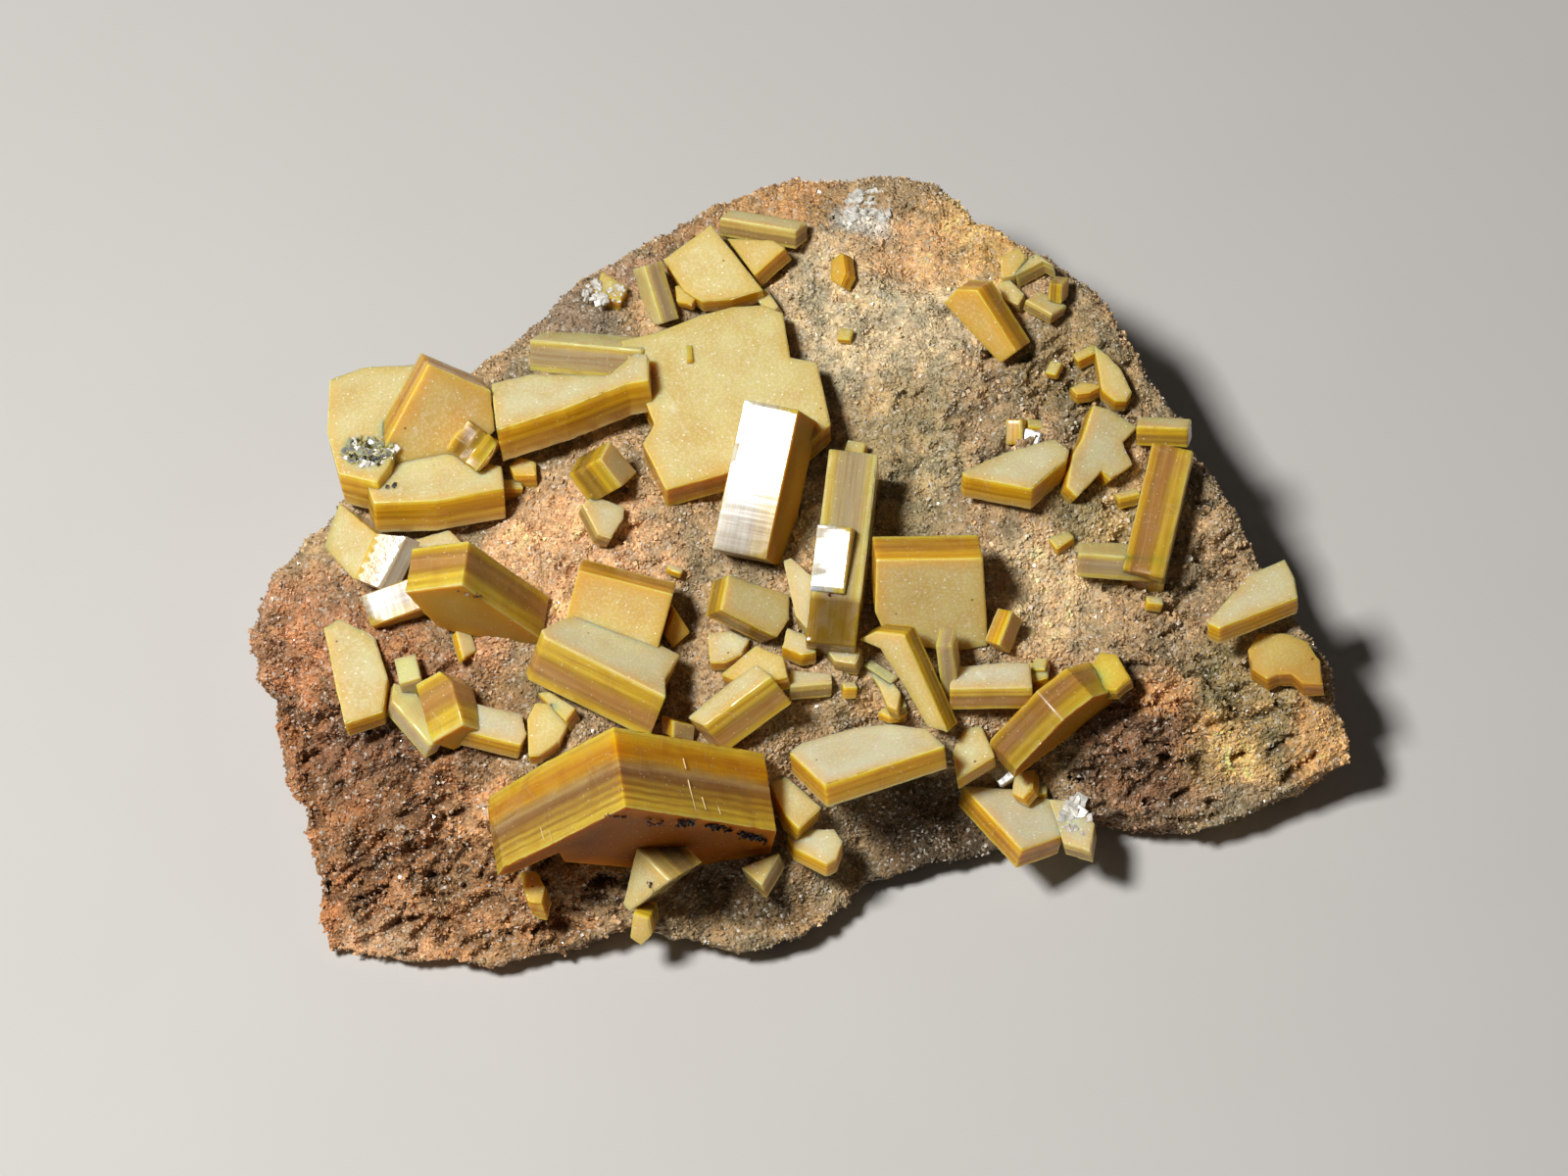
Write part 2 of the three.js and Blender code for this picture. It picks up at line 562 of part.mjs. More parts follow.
function joinedCrystals(crystals, margin) {
  return crystals.map((crystal) => crystalSolid(crystal, margin)).reduce((whole, next) => whole.add(next));
}

// ---------- assembly ----------

function namedMesh(name, solid, finish) {
  const mesh = new THREE.Mesh(geometryOf(solid), finish.clone());
  mesh.name = name;
  return mesh;
}

const specimen = new THREE.Group();
specimen.position.set(-MIDDLE[0], -MIDDLE[1], -MIDDLE[2]);
specimen.add(namedMesh("matrix_rock", solidOf(rockGeometry(0)), ROCK_FINISH));
let taken = solidOf(rockGeometry(ROOT_GAP));
for (const [name, crystals] of Object.entries(CRYSTALS)) {
  const grown = largestBody(joinedCrystals(crystals, 0).subtract(taken));
  specimen.add(namedMesh(name, grown, CRYSTAL_FINISH));
  taken = taken.add(joinedCrystals(crystals, GROWTH_GAP));
}

const piece = new THREE.Group();
piece.add(specimen);

export default piece;
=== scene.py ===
"""Wulfenite on matrix: zoned yellow tablets grown over a sugary, iron-stained slab of rock.

Lengths in the tables are millimetres; place() turns them to Blender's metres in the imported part's frame.
"""
import math
import random

import bmesh
import bpy
import numpy as np
from mathutils import Matrix, Vector, noise
from mathutils.kdtree import KDTree


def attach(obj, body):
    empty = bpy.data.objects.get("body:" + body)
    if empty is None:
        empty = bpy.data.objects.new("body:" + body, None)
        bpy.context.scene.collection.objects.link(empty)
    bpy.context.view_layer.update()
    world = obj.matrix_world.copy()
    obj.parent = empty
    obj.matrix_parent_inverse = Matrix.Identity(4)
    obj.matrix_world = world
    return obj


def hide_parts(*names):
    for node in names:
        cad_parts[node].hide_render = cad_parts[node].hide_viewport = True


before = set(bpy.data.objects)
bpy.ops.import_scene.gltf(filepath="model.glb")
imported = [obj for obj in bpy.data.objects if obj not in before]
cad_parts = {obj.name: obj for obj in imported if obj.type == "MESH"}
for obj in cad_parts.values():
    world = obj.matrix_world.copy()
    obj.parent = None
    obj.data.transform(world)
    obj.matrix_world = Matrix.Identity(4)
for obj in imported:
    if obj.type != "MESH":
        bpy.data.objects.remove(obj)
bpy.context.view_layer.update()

# ---------- driving dimensions ----------

MM = 0.001
MIDDLE = (0.86, 3.78, 0)  # middle of the footprint, in the coordinates of the tables below

VIEW_TILT = 60  # degrees that the camera looks down
VIEW_DISTANCE = 373.3
VIEW_TARGET = (0, 0, 10)
LENS = 120
SENSOR = 36
KEY_TOWARDS = (-0.425, -0.156, 0.89)  # from the specimen to the main lamp
KEY_DISTANCE = 0.38  # metres, as are the lamp's and the floor's sizes
KEY_SIZE = 0.07
KEY_POWER = 1.75
FLOOR_HALF = 2

EDGE_BEVEL = 0.1  # bright growth face along every edge of a tablet
STEP_HEIGHT = 0.015  # relief of the growth steps round a tablet's sides
STEP_WIDTH = 0.06  # width of the slope between two growth steps
STEPS_PER_MM = 1.6
FACE_GRID = 0.45  # spacing of the cuts that let a face be uneven
UNEVEN = 0.03  # how far a face wanders from flat
SHARP_ANGLE = 24  # degrees; flatter edges are shaded smooth
VEIN_HEIGHT = 0.08  # of a healed crack, half of it under the face

ROCK_CELL = 0.28  # spacing of the rock's mesh
UNDERSIDE = 0.4  # below this height the rock stays flat
CRUST_PIECES = 4
GRAINS_IN_PIECE = 30000
GRAIN_SINK = 0.06  # how far a grain's middle lies under the rock's surface
GRAIN_SPREAD = 0.07

# ---------- crystals ----------

# Every crystal is a flat prism whose c axis stands square on its two broad faces. A row of the tables says:
# a point on the upper broad face; azimuth and elevation of the c axis, degrees; the face's rotation about it;
# the thickness along it; the colour bands of its sides; its tint, from 0 pale olive over 0.3 buff and 0.6
# orange tan to 1 deep amber, whose deep amber end, from about 0.8, is painted shade on broad faces turned
# away
# from the lamp; and the corners of the broad face. Some rows go on with:
# halo: width of the clear rim, mm, which carries a painted glow. ragged, lumps, steps: how nibbled its edges
# are, how far its faces wander and how high its growth steps are, each as a share of the usual.
# deep: the colours its clear depth gives it, from one to another along a direction of the broad face, with
# the two distances from its middle between which they change.
# facets: sloping growth faces through a point, facing an azimuth and elevation.
MIRROR = {"steps": 0, "lumps": 0.25}  # a face whole enough to mirror a lamp


def tablet(at, axis, turn, thick, zoning, tint_and_shade, face, **more):
    """One row of the tables."""
    return dict(at=at, axis=axis, turn=turn, thick=thick, zoning=zoning, tint_and_shade=tint_and_shade, face=face, **more)


def box(width, depth):
    """Corners of a rectangular broad face."""
    x, y = width / 2, depth / 2
    return [(x, -y), (x, y), (-x, y), (-x, -y)]


CRYSTALS = {
    "back_left_plates": [
        tablet((-29.5, 11.4, 14.9), (118, 77), 56, 3.4, "straw", 0.27,
               [(1.5, -3.1), (5.5, -1.6), (6.3, 1.4), (4.6, 2), (-0.3, 2.3), (-5.2, 2.4), (-4.9, -1.5),
                (-3.6, -3.8)]),
        tablet((-24.4, 9.8, 15.9), (-70, 35), 48, 2.6, "honey", 0.42,
               [(-2.9, 3.2), (-4.2, 1.8), (-2, -2.6), (1.4, -3.7), (3.9, -1.9), (3.8, 3.2)], halo=1.5),
    ],
    "front_left_tablet": [
        tablet((-25, 6.2, 15), (90, 73), 12, 3, "straw", 0.24,
               [(4.7, -0.4), (4.5, 1.7), (0.2, 2.4), (-4.8, 2.1), (-5, -0.2), (-1, -2.6), (1.8, -2.9)]),
        tablet((-21, 7.6, 15.4), (-33, -17), 25, 2.8, "olive", 0.5, box(2.6, 2), lumps=6, ragged=2),
    ],
    "long_banded_bars": [
        tablet((-15.7, 12.4, 17.3), (114, 73), 148, 3.2, "straw", 0.16,
               [(-4.1, -4.6), (0.4, -2.2), (4.5, 0.5), (6, 0.9), (5.5, 3.6), (4.5, 3.7), (3, 1.3),
                (-2.8, 1.3), (-5.4, 0.2)], ragged=1.8),
        tablet((-13.8, 18.4, 14.2), (89, 47), 163, 2.4, "clear", 0.24, box(8.6, 3.5)),
    ],
    "olive_edge_tablet": [
        tablet((-31, 2.4, 12.6), (180, 44), 18, 2.7, "silver", 0.24,
               [(-3.9, -0.1), (-1.6, -2.5), (3.3, -0.5), (4.8, 0.7), (2.5, 4.2), (1.5, 2.6)], **MIRROR,
               facets=[((-28.9, 1.8, 14.7), (-123, 66))]),
    ],
    "bright_faced_block": [
        # deep roughens the face towards one end, and the grey it gives there is painted fading of the lamp's
        # reflection
        tablet((-26.8, -3.5, 11.5), (-72, -16), 18, 2.4, "silver", 0.6, box(4.4, 3.2), **MIRROR,
               deep=("#f6f4f2", "#e8e4e0", (1, 0), -2, 2)),
    ],
    "bent_tablet": [
        # tint and halo are partly painted: an orange glow on the broad face, which looks forward and a little
        # down, in shade
        tablet((-21.8, -5.4, 14.6), (-97, -7), 121, 3.4, "mauve", 0.64,
               [(0, 3.2), (-3.1, 1.6), (-5.6, -0.6), (-4.3, -3), (5.7, -3), (5.8, 1.8)], halo=2.5),
    ],
    "tucked_plate": [
        tablet((-25.4, 1.2, 13.2), (110, 72), 12, 1.4, "straw", 0.12,
               [(-2.5, 0.8), (-2.4, -1), (0, -1.6), (1.4, -1.4), (1.4, 0.6)]),
    ],
    "rounded_left_plate": [
        tablet((-30.3, -7.4, 11.7), (-175, 86), 101, 2, "straw", 0.18,
               [(-1.4, 1.5), (-1.6, -1.4), (-1.7, -4.2), (1.1, -4.1), (2.1, -1.5), (2, 1.9), (1.3, 2.8),
                (0, 4.2), (-1.3, 3.8)], ragged=2),
    ],
    "left_trio": [
        tablet((-26.5, -7.7, 12.1), (126, 73), 67, 1.5, "clear", 0.06, box(2.5, 1.6)),
        tablet((-26.1, -10.7, 11.4), (26, 69), 18, 1.6, "clear", 0.18,
               [(1.4, 0.7), (-3, 0.9), (-3.1, -0.2), (1.2, -1.5), (2.5, -0.5)]),
        tablet((-23.1, -13, 11.3), (-74, -4), 36, 4.7, "mauve", 0.7,
               [(1.8, -1.4), (1.8, 1.2), (-1.1, 1.2), (-1.1, -1.4)],
               facets=[((-23.8, -9, 13.4), (51, 32))]),
    ],
    "pale_low_tablet": [
        tablet((-20, -11.8, 11.4), (44, 77), 35, 1.8, "straw", 0.03,
               [(2.6, 1.3), (-1.9, 1.3), (-2.1, 0.2), (-1.4, -1.4), (2.8, -1.3)], ragged=2),
    ],
    "brown_backed_plate": [
        tablet((-16.7, -12.7, 12.3), (-95, 86), 98, 1.5, "straw", 0.33,
               [(-2, 1.2), (-2, 0.4), (-1, -1), (0.2, -1.6), (1.9, -0.9), (2.1, 0.6), (0.9, 1.2)]),
        tablet((-15.9, -10.7, 12.5), (148, 74), 70, 1.4, "honey", 0.24,
               [(1.8, -0.5), (1.4, 0.7), (-1.3, 0.2), (-1.8, -0.5)]),
    ],
    "broad_banded_tablet": [
        tablet((-12.3, -7.4, 14.7), (53, 58), 13, 3.9, "mauve", 0.15,
               [(-5.5, 2.5), (-4.7, 0.4), (-4.5, -3.1), (2.3, -3.6), (3.9, -0.4), (4.5, 1.8), (4, 2.5)]),
    ],
    "square_leaning_plate": [
        tablet((-11.7, -4.8, 14.7), (-95, 43), 154, 2.9, "honey", 0.45,
               [(2.9, 2.3), (-4.1, 2.3), (-2.7, -3.2), (3.9, -1.4)]),
    ],
    "amber_wedge": [
        tablet((-7.6, -4.9, 12.2), (-71, 27), 109, 1.6, "honey", 0.54,
               [(0.2, 0.8), (-1, 0.8), (-0.7, -0.8), (1.5, -0.8)]),
    ],
    "rear_plate": [
        tablet((-5.5, 22.9, 15.5), (-140, 80), 174, 1.8, "straw", 0.33,
               [(3.3, 1.8), (0.3, 2), (-1.3, 1.5), (-2.5, -0.3), (-3.3, -2.6), (3.5, -2.6)]),
    ],
    "rear_wedge": [
        tablet((-1.8, 25.3, 15.5), (170, 69), 39, 1.6, "honey", 0.36,
               [(1.7, -1.4), (1.2, 1.6), (-0.1, 1.2), (-2.8, -1.4)]),
    ],
    "rear_bar": [
        tablet((-1.5, 28.3, 15), (90, 54), 154, 1.5, "smoky", 0.24, box(6.2, 2)),
    ],
    "rear_rod": [
        tablet((-10, 22, 14.3), (-154, 9), 147, 1.5, "clear", 0.3, box(4.4, 2.5)),
    ],
    "rear_block": [
        tablet((-12.6, 22.8, 14.4), (77, 83), 155, 1.4, "honey", 0.36,
               [(-0.7, -1.1), (1.3, -0.6), (0.9, 0.8), (-1.5, 0.8)]),
    ],
    "tall_bright_blade": [
        # deep roughens the face towards one end, and the grey it gives there is painted fading of the lamp's
        # reflection
        tablet((0.6, 4.3, 16.4), (-17, 7), 26, 4.1, "silver", 0.72, box(10.8, 6), **MIRROR,
               deep=("#dcd8d2", "#ffffff", (1, 0), -5, 2.5)),
    ],
    "great_plate": [
        tablet((-3.7, 14, 15.9), (114, 87), 85, 2.4, "honey", 0.3,
               [(1.8, -6.5), (3.1, -7.8), (7.5, -7.5), (7.6, -3.2), (7.2, 3.3), (6.2, 5.3), (0.7, 6.2),
                (-0.4, 4.5), (-4.3, 5.3), (-5.4, 4.2), (-6, 2.1), (-6.1, -0.4), (-5.7, -3.8), (-5.9, -6.5)]),
    ],
    "orange_tile": [
        tablet((3.9, 23.9, 15), (-179, 42), 8, 1.1, "honey", 0.6,
               [(0.3, -0.9), (1.5, -0.1), (0.8, 0.7), (-1.2, 0.7), (-1.3, -0.5)]),
    ],
    "mid_block_pair": [
        tablet((-11.8, 6.1, 16.9), (8, 38), 61, 3, "olive", 0.24,
               [(-1, 1.5), (-1.9, -1.4), (1.3, -1.4), (1.6, 1.2)]),
        tablet((-12.6, 3, 15), (-14, 73), 42, 1.6, "smoky", 0.09,
               [(-1.1, 1.2), (-1.7, 0.4), (-0.6, -1.1), (0.2, -1.7), (1.8, 0.1), (1.4, 1.2)]),
    ],
    "mid_tablet": [
        tablet((-1.6, -4.2, 14.6), (-18, 53), 106, 2, "olive", 0.27,
               [(3.3, 1.1), (-1.6, 1.8), (-2.5, 0.2), (-2.3, -1.6), (3, -1.6)]),
    ],
    "tall_striped_blade": [
        # deep turns the lower end dark amber: partly its clear amber body, partly painted shade where the
        # lamp's highlight does not reach
        tablet((5.9, -0.2, 14.2), (-7, 0), 14, 3.5, "clear", 0.5, box(14.2, 5.5), lumps=0.25,
               deep=("#b09a38", "#ffffff", (1, 0), -4, -3.4)),
        tablet((4.8, -1.5, 16.1), (-12, 9), 25, 2.5, "silver", 0.24, box(4.7, 3), **MIRROR),
    ],
    "pale_shard": [
        tablet((1, -2.9, 15), (-175, 84), 6, 1.6, "smoky", 0.06,
               [(2.1, -0.6), (3.6, 0.1), (-0.7, 1.2), (-2.6, 0), (-2.5, -0.6)]),
    ],
    "amber_prism": [
        tablet((14, 18.3, 16.9), (-127, 27), 162, 2.2, "honey", 0.52,
               [(-3.3, 1.3), (-3.6, -0.5), (1.5, -1.7), (2.7, -0.4), (2.7, 1.3)]),
    ],
    "rear_right_blocks": [
        tablet((16.6, 23.7, 16.3), (174, 81), 9, 1.4, "smoky", 0.36,
               [(1.2, -0.9), (1.1, 0.1), (-0.3, 1.1), (-1.3, 0.6), (-0.7, -0.9)]),
        tablet((18.2, 23.7, 16.3), (122, 71), 179, 1.4, "smoky", 0.18,
               [(-1.8, -0.2), (0.6, -0.2), (0.9, -1.3), (0.7, 0.8), (-0.4, 0.9)]),
        tablet((16.4, 21.5, 15.8), (177, 77), 39, 1.2, "smoky", 0.24,
               [(0.1, -0.7), (1.3, -0.3), (0.9, 0.6), (-0.9, 0.6), (-1.3, -0.2)]),
    ],
    "yellow_edge_plate": [
        tablet((21.7, 16.4, 15.6), (137, 79), 161, 1.2, "straw", 0.36, box(1.7, 0.8)),
        tablet((23.7, 14, 15.9), (43, 87), 144, 1.5, "straw", 0.3,
               [(0.9, -1), (1.9, -0.2), (2, 0.6), (1.3, 1.1), (-0.8, 0.6), (-2.2, -0.2), (-3.1, -1)]),
    ],
    "low_amber_tile": [
        tablet((21.6, 13.6, 15.2), (108, 82), 146, 1.2, "honey", 0.42,
               [(-0.4, -0.7), (0.5, -0.3), (1.3, 0.6), (-0.3, 0.6), (-1.1, -0.2)]),
    ],
    "broken_plate": [
        tablet((22.7, 8, 15.4), (-28, 70), 11, 1.8, "straw", 0.14,
               [(0.5, 1.7), (-1, 2), (-3.6, 1.7), (-4, 0.7), (-1.3, -0.4), (-1.7, -1.2), (0.2, -2.4),
                (1.5, -1.2), (3.1, -1.9), (3.5, 0.4), (3.3, 1.7)], ragged=2),
    ],
    "right_rim_bar": [
        tablet((27.2, 10.7, 15.2), (92, 50), 167, 1.5, "olive", 0.3, box(3.7, 2.2)),
    ],
    "right_angled_pair": [
        tablet((28.1, 3.6, 12.9), (-14, 0), 10, 3, "mauve", 0.3, box(9.9, 4),
               deep=("#e8dcc8", "#f0e8d8", (1, 0), -4, 4)),
        tablet((24, 1.3, 13.2), (85, 49), 1, 1.8, "clear", 0.3, box(6.2, 3),
               deep=("#c89450", "#ffffff", (1, 0), -2.4, 0)),
    ],
    "right_tablet": [
        tablet((16.9, 6.4, 16.8), (82, 76), 175, 2.2, "straw", 0.14,
               [(-3.7, -2.4), (1.2, -2.4), (3, 1.1), (3, 2.1), (1.8, 3), (-1.4, 0.7), (-4, -2)], ragged=2),
    ],
    "square_standing_plate": [
        tablet((10, -4.7, 14.8), (-85, 28), 176, 3.3, "honey", 0.36,
               [(3.6, 0), (2.7, 2.4), (-1.8, 3.4), (-4.5, 3), (-3.8, -4.3), (3.7, -4.3)]),
    ],
    "elbow_tablet": [
        tablet((8.1, -8.8, 13.4), (-126, 26), 136, 1.6, "olive", 0.3,
               [(2, 0.8), (-1.5, 0.1), (-4.4, -0.2), (-5.1, -1.7), (2.6, -1.7), (3.3, 0.5), (3, 2.2)]),
    ],
    "smoky_rod": [
        tablet((12.3, -8.1, 12.1), (-6, 10), 68, 1.2, "clear", 0.18, box(6.4, 2)),
    ],
    "low_banded_tablet": [
        tablet((14.3, -8.5, 12.5), (94, 69), 176, 2, "mauve", 0,
               [(-2.7, -1.4), (3.1, -1.4), (3, 1.3), (1.5, 1.5), (-2.2, 1), (-2.7, -0.9)]),
    ],
    "diagonal_bar": [
        # tint 0.85 is painted shade: dark amber on the broad face, which looks to the front right and a
        # little down, away from the lamp
        tablet((19.8, -11.9, 11.6), (-51, -5), 0, 2.9, "mauve", 0.85,
               [(4.6, -3), (4.6, -0.5), (2.2, 1.5), (-0.5, 1.2), (-4.4, -1.9), (-4.4, -3.4)],
               deep=("#d4ccb8", "#f0e8cc", (1, 0), -3, 3)),
        tablet((22.7, -7.9, 11.7), (149, 72), 52, 1.2, "olive", 0.3,
               [(0.8, -1.4), (1.7, 0), (1.3, 1.3), (-1.1, 1.3), (-2, 0.3), (-0.7, -1.6)], lumps=4,
               deep=("#fff4a0", "#fff4a0", (1, 0), 0, 1)),
    ],
    "pale_wedge": [
        tablet((13.1, -12.4, 9.1), (163, 84), 140, 1.6, "straw", 0.18,
               [(-1.1, 0.6), (-2.2, -1.6), (1, -1.6), (1.6, 0.9), (0.7, 1.7)]),
    ],
    "front_right_tablet": [
        tablet((17, -15.7, 5.6), (61, 67), 152, 1.9, "honey", 0.04,
               [(3.1, -2.6), (3.1, 1.2), (-0.2, 2.7), (-1.9, 1.4), (-4.1, -2.6)]),
        tablet((20.4, -16.8, 6), (128, 74), 65, 1.4, "smoky", 0.06,
               [(1.5, -1.1), (2.9, 0.5), (0.5, 1.4), (-2.1, 0.3), (-2.8, -1.1)]),
    ],
    "short_rod": [
        tablet((16, -5.4, 13.1), (-29, 21), 18, 1.3, "straw", 0.24, box(2.6, 1.8)),
    ],
    "front_banded_tablet": [
        tablet((5.4, -13.2, 11.2), (102, 57), 14, 1.9, "straw", 0.06,
               [(4.6, 3.8), (-4.7, 3.8), (-4.7, 0.8), (-2.7, -1.5), (-0.5, -2.3), (3.4, -2.6), (4.7, -2)],
               ragged=2.5),
    ],
    "great_bow_tablet": [
        # tint 0.97, the dark amber brown end, is painted shade on the broad face, which looks forward and a
        # little down, away from the lamp; its halo of 2 mm is a wide rim of painted amber glow
        tablet((-10.7, -21.7, 11.5), (-81, -11), 165, 5.8, "bow", 0.97,
               [(6, -2.6), (8.4, 2.6), (8.4, 4.4), (7.3, 3.9), (5.1, -0.2), (4.1, 2.1), (-1.9, 4.8),
                (-8.6, 5.7), (-11.4, 3.5), (-10.2, -1.9), (2.9, -9.7)], halo=2,
               deep=("#ffffff", "#dce0d0", (1, 0), 2.2, 3.6), facets=[((-19.4, -21.3, 11.9), (-176, 34))]),
    ],
    "glassy_corner": [
        tablet((-10.3, -22.9, 9.1), (-137, 22), 101, 3.4, "smoky", 0.24,
               [(1.9, -2.9), (2.6, 0.4), (-2.7, 0.8), (-3, 0.1)]),
    ],
    "amber_stub": [
        tablet((-17.5, -22, 6.4), (131, 75), 65, 2, "honey", 0.48,
               [(1, -0.7), (1.7, 0.2), (0.3, 0.8), (-1.4, 0.4), (-1.6, -0.7)], lumps=4),
    ],
    "shadow_wedge": [
        tablet((-1.4, -20.6, 7), (140, 73), 14, 1.8, "smoky", 0.3,
               [(1.6, 0.6), (-1.3, 0.6), (-1, 0.2), (0.7, -1.5)]),
    ],
    "pale_kite": [
        tablet((0.6, -16.5, 8.7), (39, 80), 7, 1.8, "straw", 0.18,
               [(-0.5, 1.2), (-1.9, 1.3), (-1.7, -1.2), (1.8, -1.2), (2.3, -0.1)]),
    ],
    "small_front_tile": [
        tablet((2.3, -19.1, 7.3), (91, 77), 146, 1.5, "straw", 0.09,
               [(-1.1, -1.2), (1.6, -1.2), (1.9, -0.4), (1.4, 1.2), (0.3, 1.8), (-1.8, 0.4), (-2.2, -0.5)]),
    ],
    "centre_banded_bar": [
        tablet((-3.8, -11.1, 14.6), (148, 52), 148, 2.9, "mauve", 0.18,
               [(3.1, -1.4), (2.7, 1), (0.3, 1.2), (-3.4, 0.8), (-2.7, -1.4)]),
        tablet((-1.8, -8.8, 13.9), (160, 78), 151, 1.6, "honey", 0.36,
               [(-1.6, 0.2), (-0.5, -1.1), (1, -2), (1.9, -0.5), (1.2, 1.7), (-2.1, 1.7)]),
    ],
    "small_cube": [
        tablet((-7, -12.4, 11.3), (-43, 27), 127, 1.3, "straw", 0.18,
               [(0.8, 0.6), (-1.3, 0.6), (-0.9, -0.6), (1.4, -0.6)]),
    ],
    "small_bar": [
        tablet((1.9, -8.9, 12.9), (82, 71), 17, 1.4, "smoky", 0.06,
               [(1.6, 0.7), (-1.4, 0.7), (-1.5, -0.3), (1.3, -1)]),
    ],
    "flat_flake": [
        tablet((-4, -6, 12.1), (-156, 86), 160, 1.4, "straw", 0.06,
               [(-1.1, 1.3), (-1.2, 0.2), (-0.7, -1), (0.5, -1.6), (1.3, -0.3), (1.2, 1.3)]),
    ],
    "chipped_block": [
        tablet((1, -6.2, 13.1), (91, 79), 115, 1.4, "straw", 0.12,
               [(-0.2, -1.2), (1.1, -0.3), (1.3, 0.8), (-0.6, 0.8), (-1.6, -0.1)]),
    ],
    "right_edge_tablet": [
        tablet((33.5, -2.5, 13.7), (104, 74), 12, 1.7, "straw", 0.12,
               [(4.1, 1.7), (-2.2, 1.7), (-2.9, 0), (-3.3, -2.1), (-0.4, -2), (4.6, 0.8)]),
    ],
    "right_edge_plate": [
        tablet((35.1, -6.7, 11.2), (161, 81), 176, 1.8, "honey", 0.3,
               [(-1.2, 1.9), (-1.6, 0.5), (-1, -0.1), (-0.7, -1), (-1.2, -2), (-0.8, -3.4), (1, -2.5),
                (2.2, -1.2), (2.4, 0.4), (1.8, 2.4), (0.2, 2.6)], lumps=2, ragged=2,
               deep=("#dcc89c", "#ece0c0", (0, 1), -2, 1)),
    ],
}


